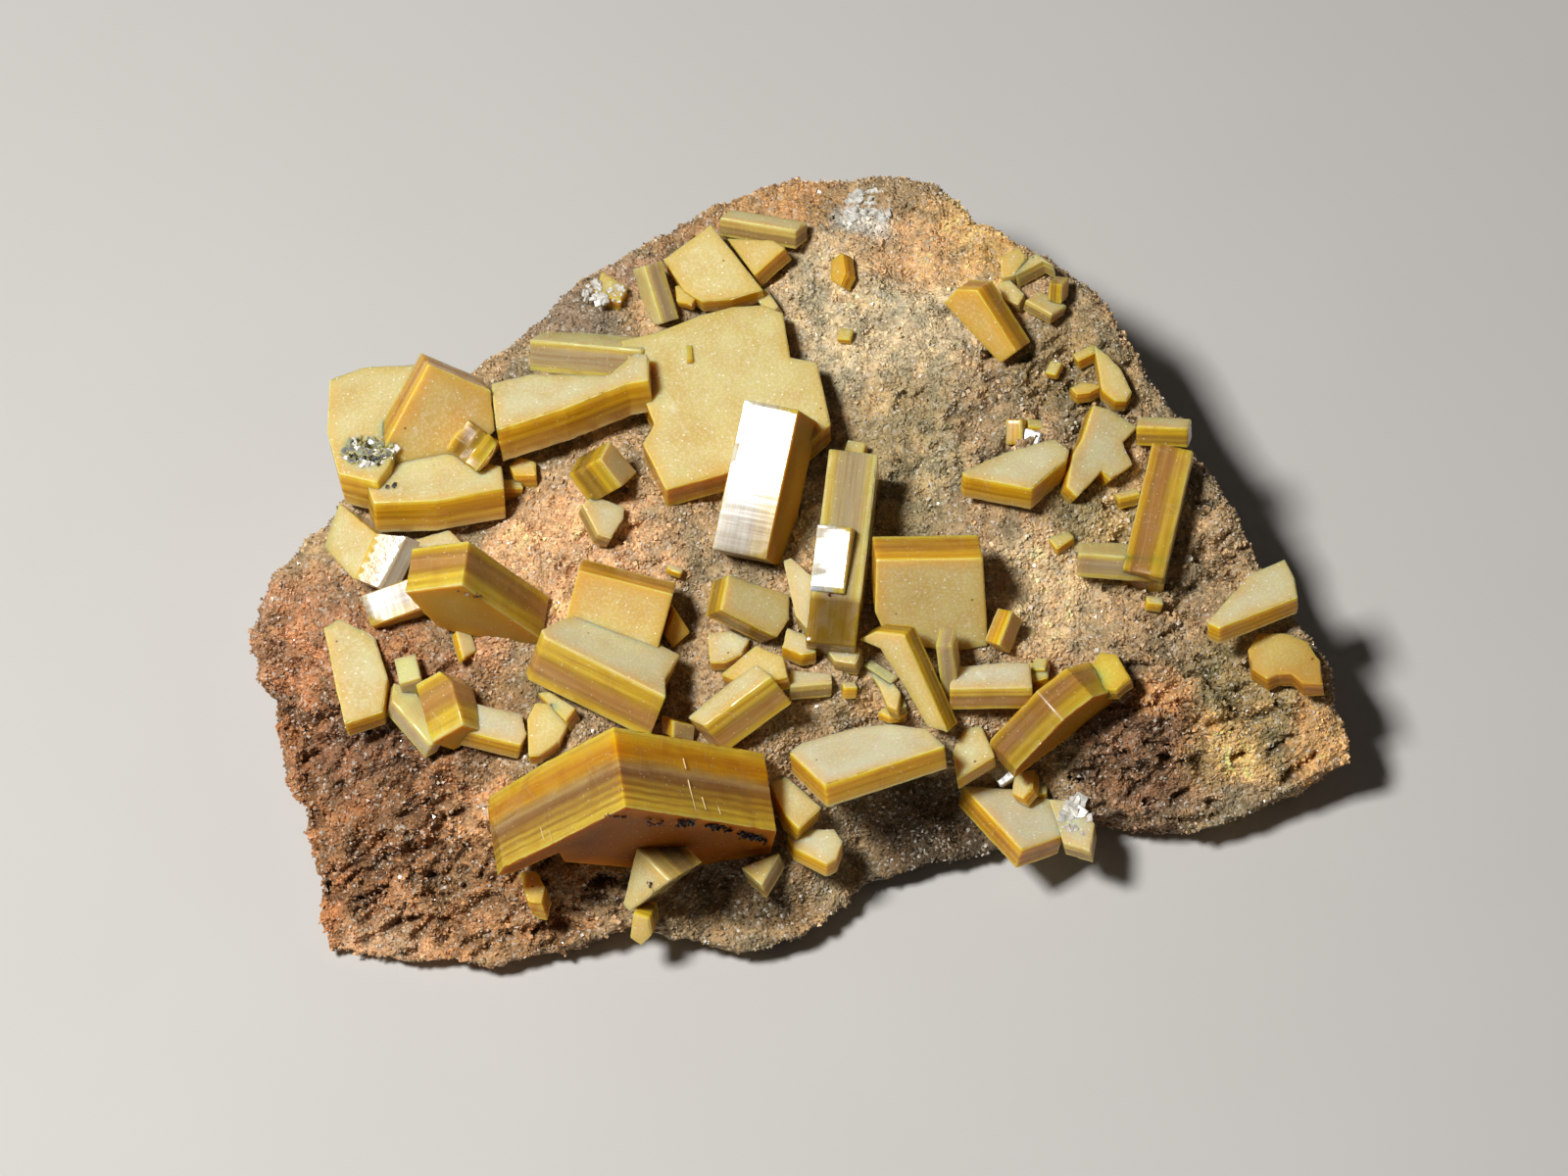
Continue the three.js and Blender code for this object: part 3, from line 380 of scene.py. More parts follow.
# Crystals of one or two millimetres between the big ones, in the same form.
YOUNG_CRYSTALS = [
    tablet((-22.4, -5.7, 12.3), (8, 63), 8, 0.9, "straw", 0.12,
           [(-1.4, 0.6), (-0.7, -0.7), (1.1, -0.6), (0.9, 0.6)]),
    tablet((-7.2, 22, 14.7), (178, 80), 8, 0.8, "honey", 0.42,
           [(0.5, -0.7), (1.1, 0.4), (0.2, 0.9), (-0.9, 0.2), (-0.9, -0.7)]),
    tablet((-1.3, 21.4, 14.7), (173, 66), 34, 1, "smoky", 0.3, box(2.2, 1)),
    tablet((18, -7, 11.5), (150, 70), 20, 1, "honey", 0.24, box(1.1, 1)),
    tablet((-6.8, 16.1, 16), (114, 80), 68, 0.4, "honey", 0.5, box(1.5, 0.4)),
    tablet((17, -13.9, 6.4), (150, 60), 30, 1.1, "straw", 0.24,
           [(-1.4, -0.8), (0.6, -1), (1.3, -0.1), (0.5, 0.6), (-1.2, 0.7)]),
    tablet((6.8, -7.9, 12.1), (90, 75), 137, 0.7, "smoky", 0.1, box(2.6, 0.8)),
    tablet((8, -9.5, 11.3), (90, 75), 103, 0.7, "smoky", 0.1, box(2.2, 0.8)),
    tablet((7.7, -10.4, 10.7), (90, 70), 0, 0.7, "honey", 0.27,
           [(-1.1, -0.3), (-0.4, -0.6), (0.7, -0.5), (1.1, 0.1), (0.3, 0.6), (-0.8, 0.4)]),
    tablet((4.4, 18.5, 14.8), (146, 79), 22, 0.6, "straw", 0.3, box(1, 1)),
    tablet((-7.7, -0.4, 13.5), (60, 70), 10, 0.6, "straw", 0.06, box(1.1, 0.6)),
    tablet((20.4, 21.6, 15.7), (-17, 11), 144, 1, "olive", 0.3, box(1.8, 1.5)),
    tablet((19, 20.6, 15.7), (65, 62), 166, 0.9, "smoky", 0.24, box(2.4, 2)),
    tablet((19.4, 15.5, 15), (156, 74), 0, 0.7, "straw", 0.24, box(1.2, 0.9)),
    tablet((17.3, 10.5, 14.2), (-9, 15), 33, 1.2, "straw", 0.24, box(1.8, 1.8)),
    tablet((18.2, 11.2, 14.3), (70, 66), 20, 1, "straw", 0.24, box(1.4, 1)),
    tablet((17.7, 9.9, 14.5), (-123, 66), 12, 1, "quartz", 0, box(1.3, 1)),
    tablet((19.7, 2.2, 13.4), (99, 75), 33, 0.8, "straw", 0.3,
           [(1, 0.6), (-0.7, 0.6), (-0.9, -0.1), (-0.2, -0.5), (0.7, -0.7)]),
    tablet((26.3, -2.1, 12), (60, 70), 30, 0.9, "straw", 0.18, box(1.2, 0.8)),
    tablet((24.5, 5.7, 13.7), (100, 60), 10, 1, "olive", 0.24, box(1.7, 0.8)),
    tablet((18, -7.5, 11.3), (128, 77), 62, 1.2, "straw", 0.3,
           [(0.8, -0.6), (0.7, 0.5), (-0.4, 0.6), (-1.1, -0.6)]),
    tablet((15.5, -12.9, 5.9), (-123, 66), 153, 1.3, "quartz", 0, box(1.3, 1.3)),
    tablet((18, -12.8, 5.1), (138, 80), 44, 0.7, "straw", 0.12,
           [(1.4, -0.7), (1.3, 0.6), (-0.4, 0.7), (-1.3, 0), (-1, -0.7)]),
    tablet((7.1, -9.3, 12.1), (157, 78), 54, 1.4, "olive", 0.12,
           [(-0.4, -0.3), (1.4, -0.7), (2.1, -0.3), (0.9, 0.7), (-1.5, 0.7), (-2.5, -0.1)]),
    tablet((-10, -25.1, 5.7), (-107, 26), 91, 2, "olive", 0.36,
           [(-0.9, 0.7), (-1.4, -0.2), (-0.2, -0.8), (1.2, -0.5), (1.3, 0.7)]),
    tablet((4.2, -7.1, 13.3), (123, 78), 130, 1.4, "smoky", 0.06,
           [(-0.5, -0.8), (1.1, -0.8), (1.1, 0.7), (-0.2, 0.7), (-1.4, 0.1)]),
    tablet((4.6, -9.3, 12.6), (80, 60), 20, 1, "straw", 0.12, box(1, 0.8)),
    tablet((-18.7, 8, 13.6), (106, 81), 163, 1.6, "honey", 0.36,
           [(-0.6, -0.8), (1, -0.8), (0.9, 0.5), (-0.3, 0.9), (-1, 0.1)]),
    tablet((-19.4, 6.9, 13), (60, 70), 40, 1.2, "honey", 0.3, box(1.4, 1)),
    tablet((5.1, 9.5, 13.9), (142, 80), 113, 1.4, "straw", 0.24, box(1.4, 1)),
]

FLAKE_TINT = 0.1
FLAKE_FACING = (-123, 67)  # azimuth and elevation that most broken flakes turn up to

# Patches of broken flakes: middle; reach in x and y; rise along x and y; number; size from and to; how far
# in degrees they lean from each other; what they are.
FLAKE_PATCHES = {
    "broken_corner_flakes": ((-29.7, 7.9, 15.5), (2, 1.3), (0.11, -0.2), 60, (0.3, 0.8), 5, "quartz"),
    "broken_corner_crumbs": ((-29.7, 8.1, 15.65), (1.9, 1.3), (0.11, -0.2), 120, (0.25, 0.5), 12, "straw"),
    "rear_corner_flakes": ((-13.1, 22.2, 14.4), (1.5, 1), (0, 0), 34, (0.25, 0.6), 20, "quartz"),
    "front_right_flakes": ((20.6, -16.4, 5.9), (1, 1.7), (0.15, -0.1), 22, (0.4, 1), 22, "quartz"),
    "silvery_patch_flakes": ((6.3, 30, 14), (1.7, 1.5), (0, 0), 60, (0.3, 0.9), 22, "quartz"),
}

# Oxide on the crystals: two ends of each crust, number of lumps, spread and colour.
OXIDE_MARKS = [
    ((-7.3, -22.3, 17), (-6.1, -21.8, 15.9), 90, 0.2, "#16100c"),
    ((-5.3, -21.5, 15), (-3.7, -20.8, 12.9), 100, 0.15, "#16100c"),
    ((-3.2, -20.6, 12), (-1.3, -19.8, 9.4), 170, 0.15, "#16100c"),
    ((-12, -23.5, 20.1), (-10.7, -23.2, 19.3), 24, 0.06, "#5a2410"),
    ((-9.2, -23.1, 18.1), (-8.3, -22.7, 17.1), 24, 0.12, "#5a2410"),
    ((-9.2, -23.65, 10), (-9.1, -23.6, 9.7), 26, 0.13, "#1e1612"),
    ((3.2, -4, 16), (3.3, -4, 16), 14, 0.09, "#5a2a14"),
    ((-28.2, 5.1, 15.35), (-28.2, 5.1, 15.35), 8, 0.07, "#4a4434"),
    ((-27.7, 5.3, 15.35), (-27.7, 5.3, 15.35), 8, 0.07, "#4a4434"),
    ((-31, 7.4, 15.8), (-28.6, 7, 16.05), 34, 0.14, "#2c2a26"),
    ((-30.6, 8.8, 15.6), (-29.2, 8, 15.85), 20, 0.18, "#4a4828"),
    ((-22.8, -5.9, 20.1), (-20.6, -6, 18.9), 16, 0.05, "#5a3a14"),
]

# White healed cracks: two ends, the face they lie on and their width.
HEALED_CRACKS = [
    ((-16.7, -21.7, 14.85), (-16.4, -22.75, 14.8), (-162, 39), 0.04),
    ((-16.05, -22.3, 15.4), (-15.85, -23, 15.3), (-162, 39), 0.03),
    ((-6.55, -19.3, 17.2), (-6, -21.5, 16.45), (-2, 43), 0.05),
    ((-5.6, -20.1, 16.2), (-5.35, -20.9, 15.85), (-2, 43), 0.04),
    ((-4.6, -20, 15), (-4.35, -20.7, 14.8), (-2, 43), 0.03),
    ((-6.9, -17.9, 17.7), (-6.7, -18.6, 17.5), (-2, 43), 0.03),
]


# ---------- rock ----------

# Stains and crusts of the rock, and two patches of painted shade: middle x, y; reach in x and y; colour;
# strength.
ROCK_STAINS_AND_SHADE = [
    ((-15, 1), (7, 5.5), "#e8bf94", 0.95),  # cream and peach granules in the middle left
    ((-23, -8), (5, 3), "#dcb08a", 0.6),
    ((7, 21), (8, 8), "#e0d2b2", 0.85),  # tan crust behind the great plate
    ((8, 9), (4.5, 8), "#b2a27c", 0.9),  # grey olive crust
    ((11.5, 8.5), (2, 3), "#ccbc96", 0.7),
    ((21, 16), (5, 4.5), "#a4926a", 0.85),
    ((23, 4), (5, 4.5), "#a08e66", 0.85),
    ((33, -8), (5, 5), "#9c8e64", 0.85),
    ((18, -1.5), (5, 4), "#e8d0a8", 0.9),
    ((23.5, 3.5), (3, 3.5), "#d0bc8e", 0.85),
    ((-20, -9), (3, 2.5), "#8d8262", 0.9),
    ((-19, -15), (4, 2), "#a08a66", 0.8),
    ((-2, -22), (6, 4), "#a08a68", 0.8),
    ((12.6, 27), (3, 5), "#e6c484", 0.9),  # orange iron stain at the back
    ((16, 25), (2, 5), "#dcb674", 0.8),
    ((9, 26), (5.5, 4), "#e4bc8c", 0.85),
    ((31, -11.5), (4, 2.5), "#fcd490", 0.9),
    ((39, -9.5), (3, 4), "#e0b67c", 0.85),
    ((0, 31), (7, 3), "#c89c68", 0.7),
    ((-31, -14), (12, 14), "#ac7c54", 0.95),  # rusty broken flank
    ((-35, -20), (3.5, 8), "#c08c60", 0.9),
    ((-26, -23.5), (6, 3), "#dcb48e", 0.85),
    ((-19, -22), (8, 5), "#b4885c", 0.8),
    ((-21, -16.5), (3, 1.5), "#dcac7c", 0.85),
    ((-30, -11), (5, 3), "#8c6850", 0.7),
    ((-35, -2), (5, 5), "#bc8c68", 0.8),
    ((25, -12), (5.5, 5), "#8e6c50", 0.95),  # dark manganese patch
    ((26.5, -7.6), (3, 1.8), "#e0b07c", 0.85),
    # painted shade: in the hollow under the front crystals, and at the foot of the great bow tablet
    ((11, -17), (7, 4), "#4a3a28", 0.85),
    ((-1.4, -21.5), (3.5, 2), "#6c583c", 0.85),
    ((-15.5, 21), (4.5, 3), "#86786a", 0.85),  # purplish glassy patch
    ((-10, 24), (4, 2), "#c0987c", 0.7),
    ((6, 29), (2.2, 2.2), "#dad8d4", 0.95),  # silvery crystalline patch
    ((-7, 28), (4, 3), "#a88662", 0.7),
]
ROCK_BASE = "#b49e7c"
STAIN_DRIFT = 1.7  # how far the stains' borders waver
WARM_MOTTLE = (1.46, 1.3, 1.1)
COOL_MOTTLE = (0.82, 0.84, 0.78)

# Cracks: points of each, half width and depth.
ROCK_CRACKS = [
    ([(-38.5, -5.2), (-37.2, -6.2), (-35.8, -6.8), (-33.8, -8), (-32, -8.4)], 0.45, 1.3),
    ([(-28.2, -18.8), (-26.2, -18.8), (-24.8, -18.4), (-24, -17.2)], 0.5, 1.4),
    ([(-33.8, -9.6), (-32.4, -9.9)], 0.35, 0.9),
    ([(-24.4, -14.8), (-22, -15.4)], 0.4, 0.9),
    ([(-25.2, -20.4), (-24.6, -21.8), (-22.8, -22.6)], 0.35, 0.9),
    ([(-30, -24), (-27.4, -22.8)], 0.3, 0.8),
    ([(29.5, 1.8), (31.5, 0), (33.5, -2)], 0.3, 0.8),
    ([(30, -7), (31.6, -8.4), (33, -10)], 0.3, 0.8),
    ([(12, 21), (14.5, 19.5), (15.2, 17.5)], 0.3, 0.6),
]

# Stretches of short open gaps: middle x, y; reach; number; azimuth; length from and to; depth.
ROCK_SEAMS = [
    ((20, 13), (5, 5), 60, 35, (0.6, 2.6), 0.8),
    ((12, 11), (4, 4), 30, 40, (0.5, 1.8), 0.6),
    ((28, 1), (5, 5), 34, 30, (0.6, 2.2), 0.8),
    ((30, -9), (7, 4), 34, 10, (0.6, 2.4), 0.8),
    ((-31, -15), (8, 9), 110, 30, (0.6, 2.4), 0.9),
    ((-19, -21), (9, 4), 60, 15, (0.6, 2.4), 0.9),
    ((-15, 0), (5, 4), 16, 30, (0.4, 1.4), 0.6),
    ((4, 24), (9, 6), 24, 25, (0.4, 1.4), 0.4),
    ((25, -12), (6, 4), 30, 0, (0.5, 2), 0.9),
]

# Pitted stretches: middle x, y; reach; number of pits; their radius from and to.
ROCK_PITS = [
    ((-31, -14), (9, 11), 190, (0.3, 0.9)),
    ((-18, -21), (9, 4), 80, (0.3, 0.8)),
    ((8, 12), (7, 12), 50, (0.25, 0.5)),
    ((28, 0), (8, 10), 60, (0.25, 0.6)),
    ((25, -12), (5, 4), 30, (0.3, 0.9)),
]

# Swells of the whole surface and of the broken walls: height, spacing, seed.
ROCK_SWELLS = [(0.32, 3.0, 1), (0.24, 1.3, 2), (0.14, 0.7, 6)]
WALL_SWELLS = [(0.6, 3.4, 3), (0.3, 1.5, 4)]
GRIT = 0.06
RUSTY_FLANK = ((-31, -14), (12, 13))  # middle and reach of the flank that is as rough as the walls

# ---------- placing ----------


def place(x, y, z):
    """A point of the tables, in the part's frame and in metres."""
    return Vector((x - MIDDLE[0], y - MIDDLE[1], z - MIDDLE[2])) * MM


def direction(azimuth, elevation):
    azimuth, elevation = math.radians(azimuth), math.radians(elevation)
    level = math.cos(elevation)
    return Vector((level * math.cos(azimuth), level * math.sin(azimuth), math.sin(elevation)))


def crystal_frame(crystal):
    """Matrix from a crystal's own millimetres to the part's frame: x and y in the broad face, z along c."""
    c = direction(*crystal["axis"])
    level = direction(crystal["axis"][0] + 90, 0)
    a = Matrix.Rotation(math.radians(crystal["turn"]), 3, c) @ level
    turned = Matrix((a, c.cross(a), c)).transposed().to_4x4()
    return Matrix.Translation(place(*crystal["at"])) @ Matrix.Scale(MM, 4) @ turned


def in_scene(name, data):
    """A new object, linked to the scene."""
    made = bpy.data.objects.new(name, data)
    bpy.context.scene.collection.objects.link(made)
    return made


def as_mesh(bm, name):
    mesh = bpy.data.meshes.new(name)
    bm.to_mesh(mesh)
    bm.free()
    return mesh


def show(name, mesh, materials, replaces=None):
    """Puts a finished mesh in the scene as a piece of the specimen."""
    piece = in_scene(name, mesh)
    for material in materials:
        mesh.materials.append(material)
    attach(piece, "root")
    if replaces:
        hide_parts(replaces)


# ---------- material helpers ----------


def linear(code):
    """An sRGB hex colour as linear RGBA."""
    parts = [int(code[i:i + 2], 16) / 255 for i in (1, 3, 5)]
    return tuple(c / 12.92 if c <= 0.04045 else ((c + 0.055) / 1.055) ** 2.4 for c in parts) + (1,)


def rgb(code):
    """An sRGB hex colour as a linear array of three."""
    return np.array(linear(code)[:3])


def feed(tree, socket, value):
    """Links a socket to another one, or sets its value."""
    if isinstance(value, bpy.types.NodeSocket):
        tree.links.new(value, socket)
    else:
        socket.default_value = value


def node(tree, kind, inputs=None, **settings):
    """Adds one shader node, with its settings, and fills or links its inputs."""
    made = tree.nodes.new(kind)
    for name, value in settings.items():
        setattr(made, name, value)
    for socket, value in (inputs or {}).items():
        feed(tree, made.inputs[socket], value)
    return made


def blank_material(name):
    material = bpy.data.materials.new(name)
    material.use_nodes = True
    tree = material.node_tree
    tree.nodes.clear()
    shader = node(tree, "ShaderNodeBsdfPrincipled")
    node(tree, "ShaderNodeOutputMaterial", {"Surface": shader.outputs["BSDF"]})
    return material, tree, shader


def set_shader(tree, shader, **values):
    for name, value in values.items():
        feed(tree, shader.inputs[name.replace("_", " ")], value)


def carried(tree, name, output="Color"):
    """Socket of an attribute that the mesh carries."""
    return node(tree, "ShaderNodeAttribute", attribute_name=name).outputs[output]


def ramp(tree, value, stops):
    """Colour socket of a ramp over a number; each stop is a share and an sRGB hex."""
    made = node(tree, "ShaderNodeValToRGB", {"Fac": value})
    points = made.color_ramp.elements
    points.remove(points[-1])
    points[0].position = stops[0][0]
    points[0].color = linear(stops[0][1])
    for share, code in stops[1:]:
        points.new(share).color = linear(code)
    return made.outputs["Color"]


def mixed(tree, share, first, second, blend="MIX"):
    """Colour socket of a mix of two colours."""
    return node(tree, "ShaderNodeMix", {0: share, 6: first, 7: second}, data_type="RGBA",
                blend_type=blend).outputs[2]


def filtered(tree, share, colour, code):
    """Colour socket: a colour as it looks through a filter, to a share."""
    return mixed(tree, share, colour, mixed(tree, 1.0, colour, linear(code), "MULTIPLY"))


def reading(tree, value, low, high, to_low=0.0, to_high=1.0):
    """Number socket: a value's stretch from low to high, as to_low to to_high."""
    return node(tree, "ShaderNodeMapRange", {
        "Value": value, "From Min": low, "From Max": high, "To Min": to_low, "To Max": to_high,
    }).outputs["Result"]


def plus(tree, first, second):
    return node(tree, "ShaderNodeMath", {0: first, 1: second}).outputs[0]


def times(tree, first, second):
    return node(tree, "ShaderNodeMath", {0: first, 1: second}, operation="MULTIPLY").outputs[0]


def scaled(tree, vector, scale):
    return node(tree, "ShaderNodeVectorMath", {0: vector, 1: scale}, operation="MULTIPLY").outputs[0]


def millimetres(tree):
    """Vector socket of the object's own coordinates in millimetres."""
    return scaled(tree, node(tree, "ShaderNodeTexCoord").outputs["Object"], (1 / MM, 1 / MM, 1 / MM))


def cloudy(tree, where, scale, detail, roughness=0.5):
    """Number socket of soft noise, with scale cells to a unit of where."""
    return node(tree, "ShaderNodeTexNoise", {
        "Vector": where, "Scale": scale, "Detail": detail, "Roughness": roughness,
    }).outputs["Fac"]


def bumped(tree, height, strength, distance, below=None, **settings):
    """Normal socket of a relief whose height is a number socket, over another relief if there is one."""
    inputs = {"Strength": strength, "Distance": distance, "Height": height}
    if below:
        inputs["Normal"] = below
    return node(tree, "ShaderNodeBump", inputs, **settings).outputs["Normal"]


def specks(tree, where, per_mm, size):
    """Number socket, 1 inside small round specks scattered at per_mm cells a millimetre."""
    cells = node(tree, "ShaderNodeTexVoronoi", {"Vector": where, "Scale": per_mm})
    return reading(tree, cells.outputs["Distance"], size, size * 0.6)


# ---------- finishes of the crystals ----------

# Colours of a tablet's side along its c axis, from the upper broad face (0) to the lower (1).
ZONINGS = {
    "bow": [
        (0.0, "#f4dc70"), (0.05, "#e8bc38"), (0.1, "#f0cc48"), (0.13, "#c89830"), (0.16, "#ecc848"),
        (0.2, "#dab03a"), (0.23, "#b88a30"), (0.27, "#e0b844"), (0.31, "#b08030"), (0.36, "#c89c3c"),
        (0.41, "#a87838"), (0.47, "#a67640"), (0.53, "#c49c66"), (0.58, "#c89c50"), (0.66, "#e4a61c"),
        (0.76, "#dc940c"), (0.84, "#eaae14"), (0.9, "#f0be28"), (0.95, "#f0c63c"), (1.0, "#f6d860"),
    ],
    "honey": [
        (0.0, "#f4dc84"), (0.06, "#edc638"), (0.16, "#d89e28"), (0.26, "#e6b838"), (0.4, "#cc9830"),
        (0.52, "#bc8426"), (0.64, "#cfa034"), (0.78, "#c08e28"), (0.9, "#dcb83a"), (1.0, "#f0d670"),
    ],
    "mauve": [
        (0.0, "#ebe0a0"), (0.07, "#e0c64c"), (0.18, "#d0b03a"), (0.28, "#dec046"), (0.4, "#bc983c"),
        (0.52, "#b88c4c"), (0.64, "#c29858"), (0.76, "#b08848"), (0.86, "#ceaa38"), (0.94, "#e2c044"),
        (1.0, "#ecd880"),
    ],
    "straw": [
        (0.0, "#f2e6a4"), (0.07, "#eed03e"), (0.2, "#e2b626"), (0.32, "#d09a18"), (0.42, "#e0b42a"),
        (0.55, "#c48e22"), (0.66, "#dab040"), (0.8, "#cca044"), (0.92, "#dcbc70"), (1.0, "#ecd8a0"),
    ],
    "olive": [
        (0.0, "#e6dc94"), (0.08, "#dcc238"), (0.2, "#bea02a"), (0.32, "#d4b028"), (0.48, "#9c7c28"),
        (0.62, "#ab8a34"), (0.76, "#947428"), (0.9, "#cca82a"), (1.0, "#e2cc6c"),
    ],
    "smoky": [
        (0.0, "#eee6b8"), (0.1, "#d8c678"), (0.22, "#bca660"), (0.34, "#cdb662"), (0.5, "#9c8450"),
        (0.64, "#a8905c"), (0.78, "#947c48"), (0.9, "#cdb452"), (1.0, "#e6d88c"),
    ],
    # silver: golden bands near the upper face, then pale greys that paint the silvery sheen of faces that
    # mirror the lamp
    "silver": [
        (0.0, "#d8b850"), (0.08, "#d4b848"), (0.2, "#c0a650"), (0.3, "#c4b070"), (0.38, "#b4a688"),
        (0.5, "#c6beaa"), (0.6, "#b8b09c"), (0.75, "#ccc6b4"), (0.9, "#d6d0bc"), (1.0, "#e6e0cc"),
    ],
    "clear": [
        (0.0, "#f2e6a0"), (0.12, "#d8c060"), (0.25, "#c8b488"), (0.5, "#bca880"), (0.75, "#c4b07c"),
        (0.88, "#dcc458"), (1.0, "#f0e096"),
    ],
}
# Colour of a frosted broad face by its tint; the dark amber brown end is painted shade on broad faces turned
# away from the lamp.
BUFFS_AND_SHADE = [(0.0, "#d4d2b8"), (0.12, "#d4cca2"), (0.3, "#d8c888"), (0.45, "#dcbf74"), (0.6, "#d8b050"),
         (0.8, "#c48c22"), (1.0, "#843e08")]
HAIR = 0.00002  # metres; height of the fine growth lines


def zone_reading(tree):
    """Sockets of what each crystal's mesh carries: its own millimetres; share along c, distance from the
    outline in millimetres and tint, whose deep amber end is painted shade; the colour that its clear depth
    gives it."""
    zone = node(tree, "ShaderNodeSeparateColor", {"Color": carried(tree, "zone")}).outputs
    return carried(tree, "grown", "Vector"), zone["Red"], zone["Green"], zone["Blue"], carried(tree, "deep")


def glassy_side(zoning):
    """Prism face of a lead molybdate tablet: clear and resinous, with soft growth bands along it."""
    material, tree, shader = blank_material("wulfenite_side_" + zoning)
    grown, share, _, _, deep = zone_reading(tree)
    mirror = zoning == "silver"
    # fine growth lines, about five a millimetre, run along the bands; striae cross them on some faces
    lines = cloudy(tree, scaled(tree, grown, (0.1, 0.1, 3.2)), 1.6, 2.0, 0.55)
    striae = cloudy(tree, scaled(tree, grown, (1.0, 1.0, 0.06)), 2.6 if mirror else 1.3, 3.0, 0.6)
    sway = reading(tree, cloudy(tree, grown, 0.4, 2.0), 0, 1, -0.035, 0.035)
    colour = ramp(tree, plus(tree, share, sway), ZONINGS[zoning])
    colour = filtered(tree, reading(tree, lines, 0.44, 0.6, 0.0, 0.34), colour, "#cca254")
    # clouds where the crystal is clearer and looks darker
    cloud = cloudy(tree, grown, 0.6, 3.0)
    colour = filtered(tree, reading(tree, cloud, 0.5, 0.72, 0.0, 0.3), colour, "#d09c48")
    # thin white healed cracks across the bands, and drusy dust
    crossing = scaled(tree, grown, (1.0, 1.0, 0.12))
    healed = node(tree, "ShaderNodeTexVoronoi", {"Vector": crossing, "Scale": 0.8},
                  feature="DISTANCE_TO_EDGE").outputs["Distance"]
    healed = times(tree, reading(tree, healed, 0.0, 0.012, 0.25, 0.0), reading(tree, cloud, 0.52, 0.6))
    colour = mixed(tree, healed, colour, linear("#f2ead0"))
    dust = reading(tree, specks(tree, grown, 2.1, 0.13), 0, 1, 0, 0.7)
    colour = mixed(tree, dust, colour, linear("#f4eed8"))
    rough = reading(tree, cloud, 0.35, 0.65, 0.16, 0.4)
    if mirror:
        # a mirror where the face is whole, etched and streaky where its depth shows
        whole = node(tree, "ShaderNodeSeparateColor", {"Color": deep}).outputs["Red"]
        rough = plus(tree, reading(tree, whole, 0.6, 1.0, 0.5, 0.14),
                     reading(tree, striae, 0.4, 0.6, 0.0, 0.1))
    # faint ribs along the bands, with swells that break a reflection into streaks
    ribs = bumped(tree, lines, 0.2, HAIR)
    swells = bumped(tree, striae, 0.3 if mirror else 0.18, 2 * HAIR, ribs)
    set_shader(tree, shader, Base_Color=mixed(tree, 1.0, colour, deep, "MULTIPLY"), Roughness=rough,
               Normal=swells, IOR=1.6, Specular_IOR_Level=0.35, Subsurface_Weight=0.7,
               Subsurface_Scale=0.002, Subsurface_Radius=(1.0, 0.65, 0.13),
               Transmission_Weight=0.15 if zoning == "clear" else 0.0)
    return material


def frosted_face():
    """Broad c face of a tablet: buff and dull from a sugary frost, clear amber at its rim and where deep. The
    rim's amber is partly painted glow, and the deep amber tints are painted shade.
    """
    material, tree, shader = blank_material("wulfenite_broad_face")
    grown, _, depth, tint_and_shade, deep = zone_reading(tree)
    # frost fades out as the tint deepens, so the painted shade of the deep amber tints stays clear
    frosted = reading(tree, tint_and_shade, 0.45, 0.8, 1.0, 0.0)
    cloud = cloudy(tree, grown, 0.35, 4.0)
    colour = filtered(tree, reading(tree, cloud, 0.42, 0.7, 0.0, 0.55), ramp(tree, tint_and_shade, BUFFS_AND_SHADE), "#f0cf96")
    frost = cloudy(tree, grown, 5.0, 4.0, 0.65)
    patch = cloudy(tree, grown, 0.8, 5.0, 0.7)
    white = times(tree, frosted, reading(tree, frost, 0.46, 0.68, 0.0, 0.45))
    colour = mixed(tree, white, colour, linear("#f2e9c8"))
    white = times(tree, frosted, reading(tree, patch, 0.6, 0.74, 0.0, 0.5))
    colour = mixed(tree, white, colour, linear("#f4ecd4"))
    # the thin rim is clear amber, with a painted glow of light coming through it that grows stronger and more
    # orange as the tint deepens
    rim = times(tree, reading(tree, depth, 0.0, 1.0, 1.0, 0.0), reading(tree, tint_and_shade, 0.3, 0.6, 0.45, 0.85))
    rim_amber_and_painted_glow = mixed(tree, reading(tree, tint_and_shade, 0.6, 0.9), linear("#dca42a"), linear("#c46e08"))
    colour = mixed(tree, rim, colour, rim_amber_and_painted_glow)
    rust = reading(tree, specks(tree, grown, 0.5, 0.06), 0, 1, 0, 0.8)
    colour = mixed(tree, rust, colour, linear("#6a4420"))
    speckle = times(tree, reading(tree, frosted, 0, 1, 0.3, 0.8), specks(tree, grown, 1.7, 0.14))
    colour = mixed(tree, speckle, colour, linear("#fbf7e8"))
    set_shader(tree, shader, Base_Color=mixed(tree, 1.0, colour, deep, "MULTIPLY"),
               Roughness=reading(tree, frost, 0.3, 0.7, 0.35, 0.6), Normal=bumped(tree, frost, 0.45, 0.00005),
               IOR=1.45, Specular_IOR_Level=0.1, Subsurface_Weight=0.85, Subsurface_Scale=0.002,
               Subsurface_Radius=(1.0, 0.55, 0.1))
    return material


def white_quartz():
    """Bright broken quartz: white, glossy and a little clouded."""
    material, tree, shader = blank_material("white_quartz")
    cloud = cloudy(tree, carried(tree, "grown", "Vector"), 2.5, 3.0)
    colour = mixed(tree, reading(tree, cloud, 0.4, 0.65), linear("#e6e2d8"), linear("#a8a296"))
    rough = reading(tree, cloud, 0.3, 0.7, 0.12, 0.35)
    set_shader(tree, shader, Base_Color=colour, Roughness=rough, IOR=1.55)
    return material


# ---------- growing a crystal ----------

SIDE_FINISHES = {zoning: glassy_side(zoning) for zoning in ZONINGS}
SIDE_FINISHES["quartz"] = white_quartz()
BROAD_FINISH = frosted_face()


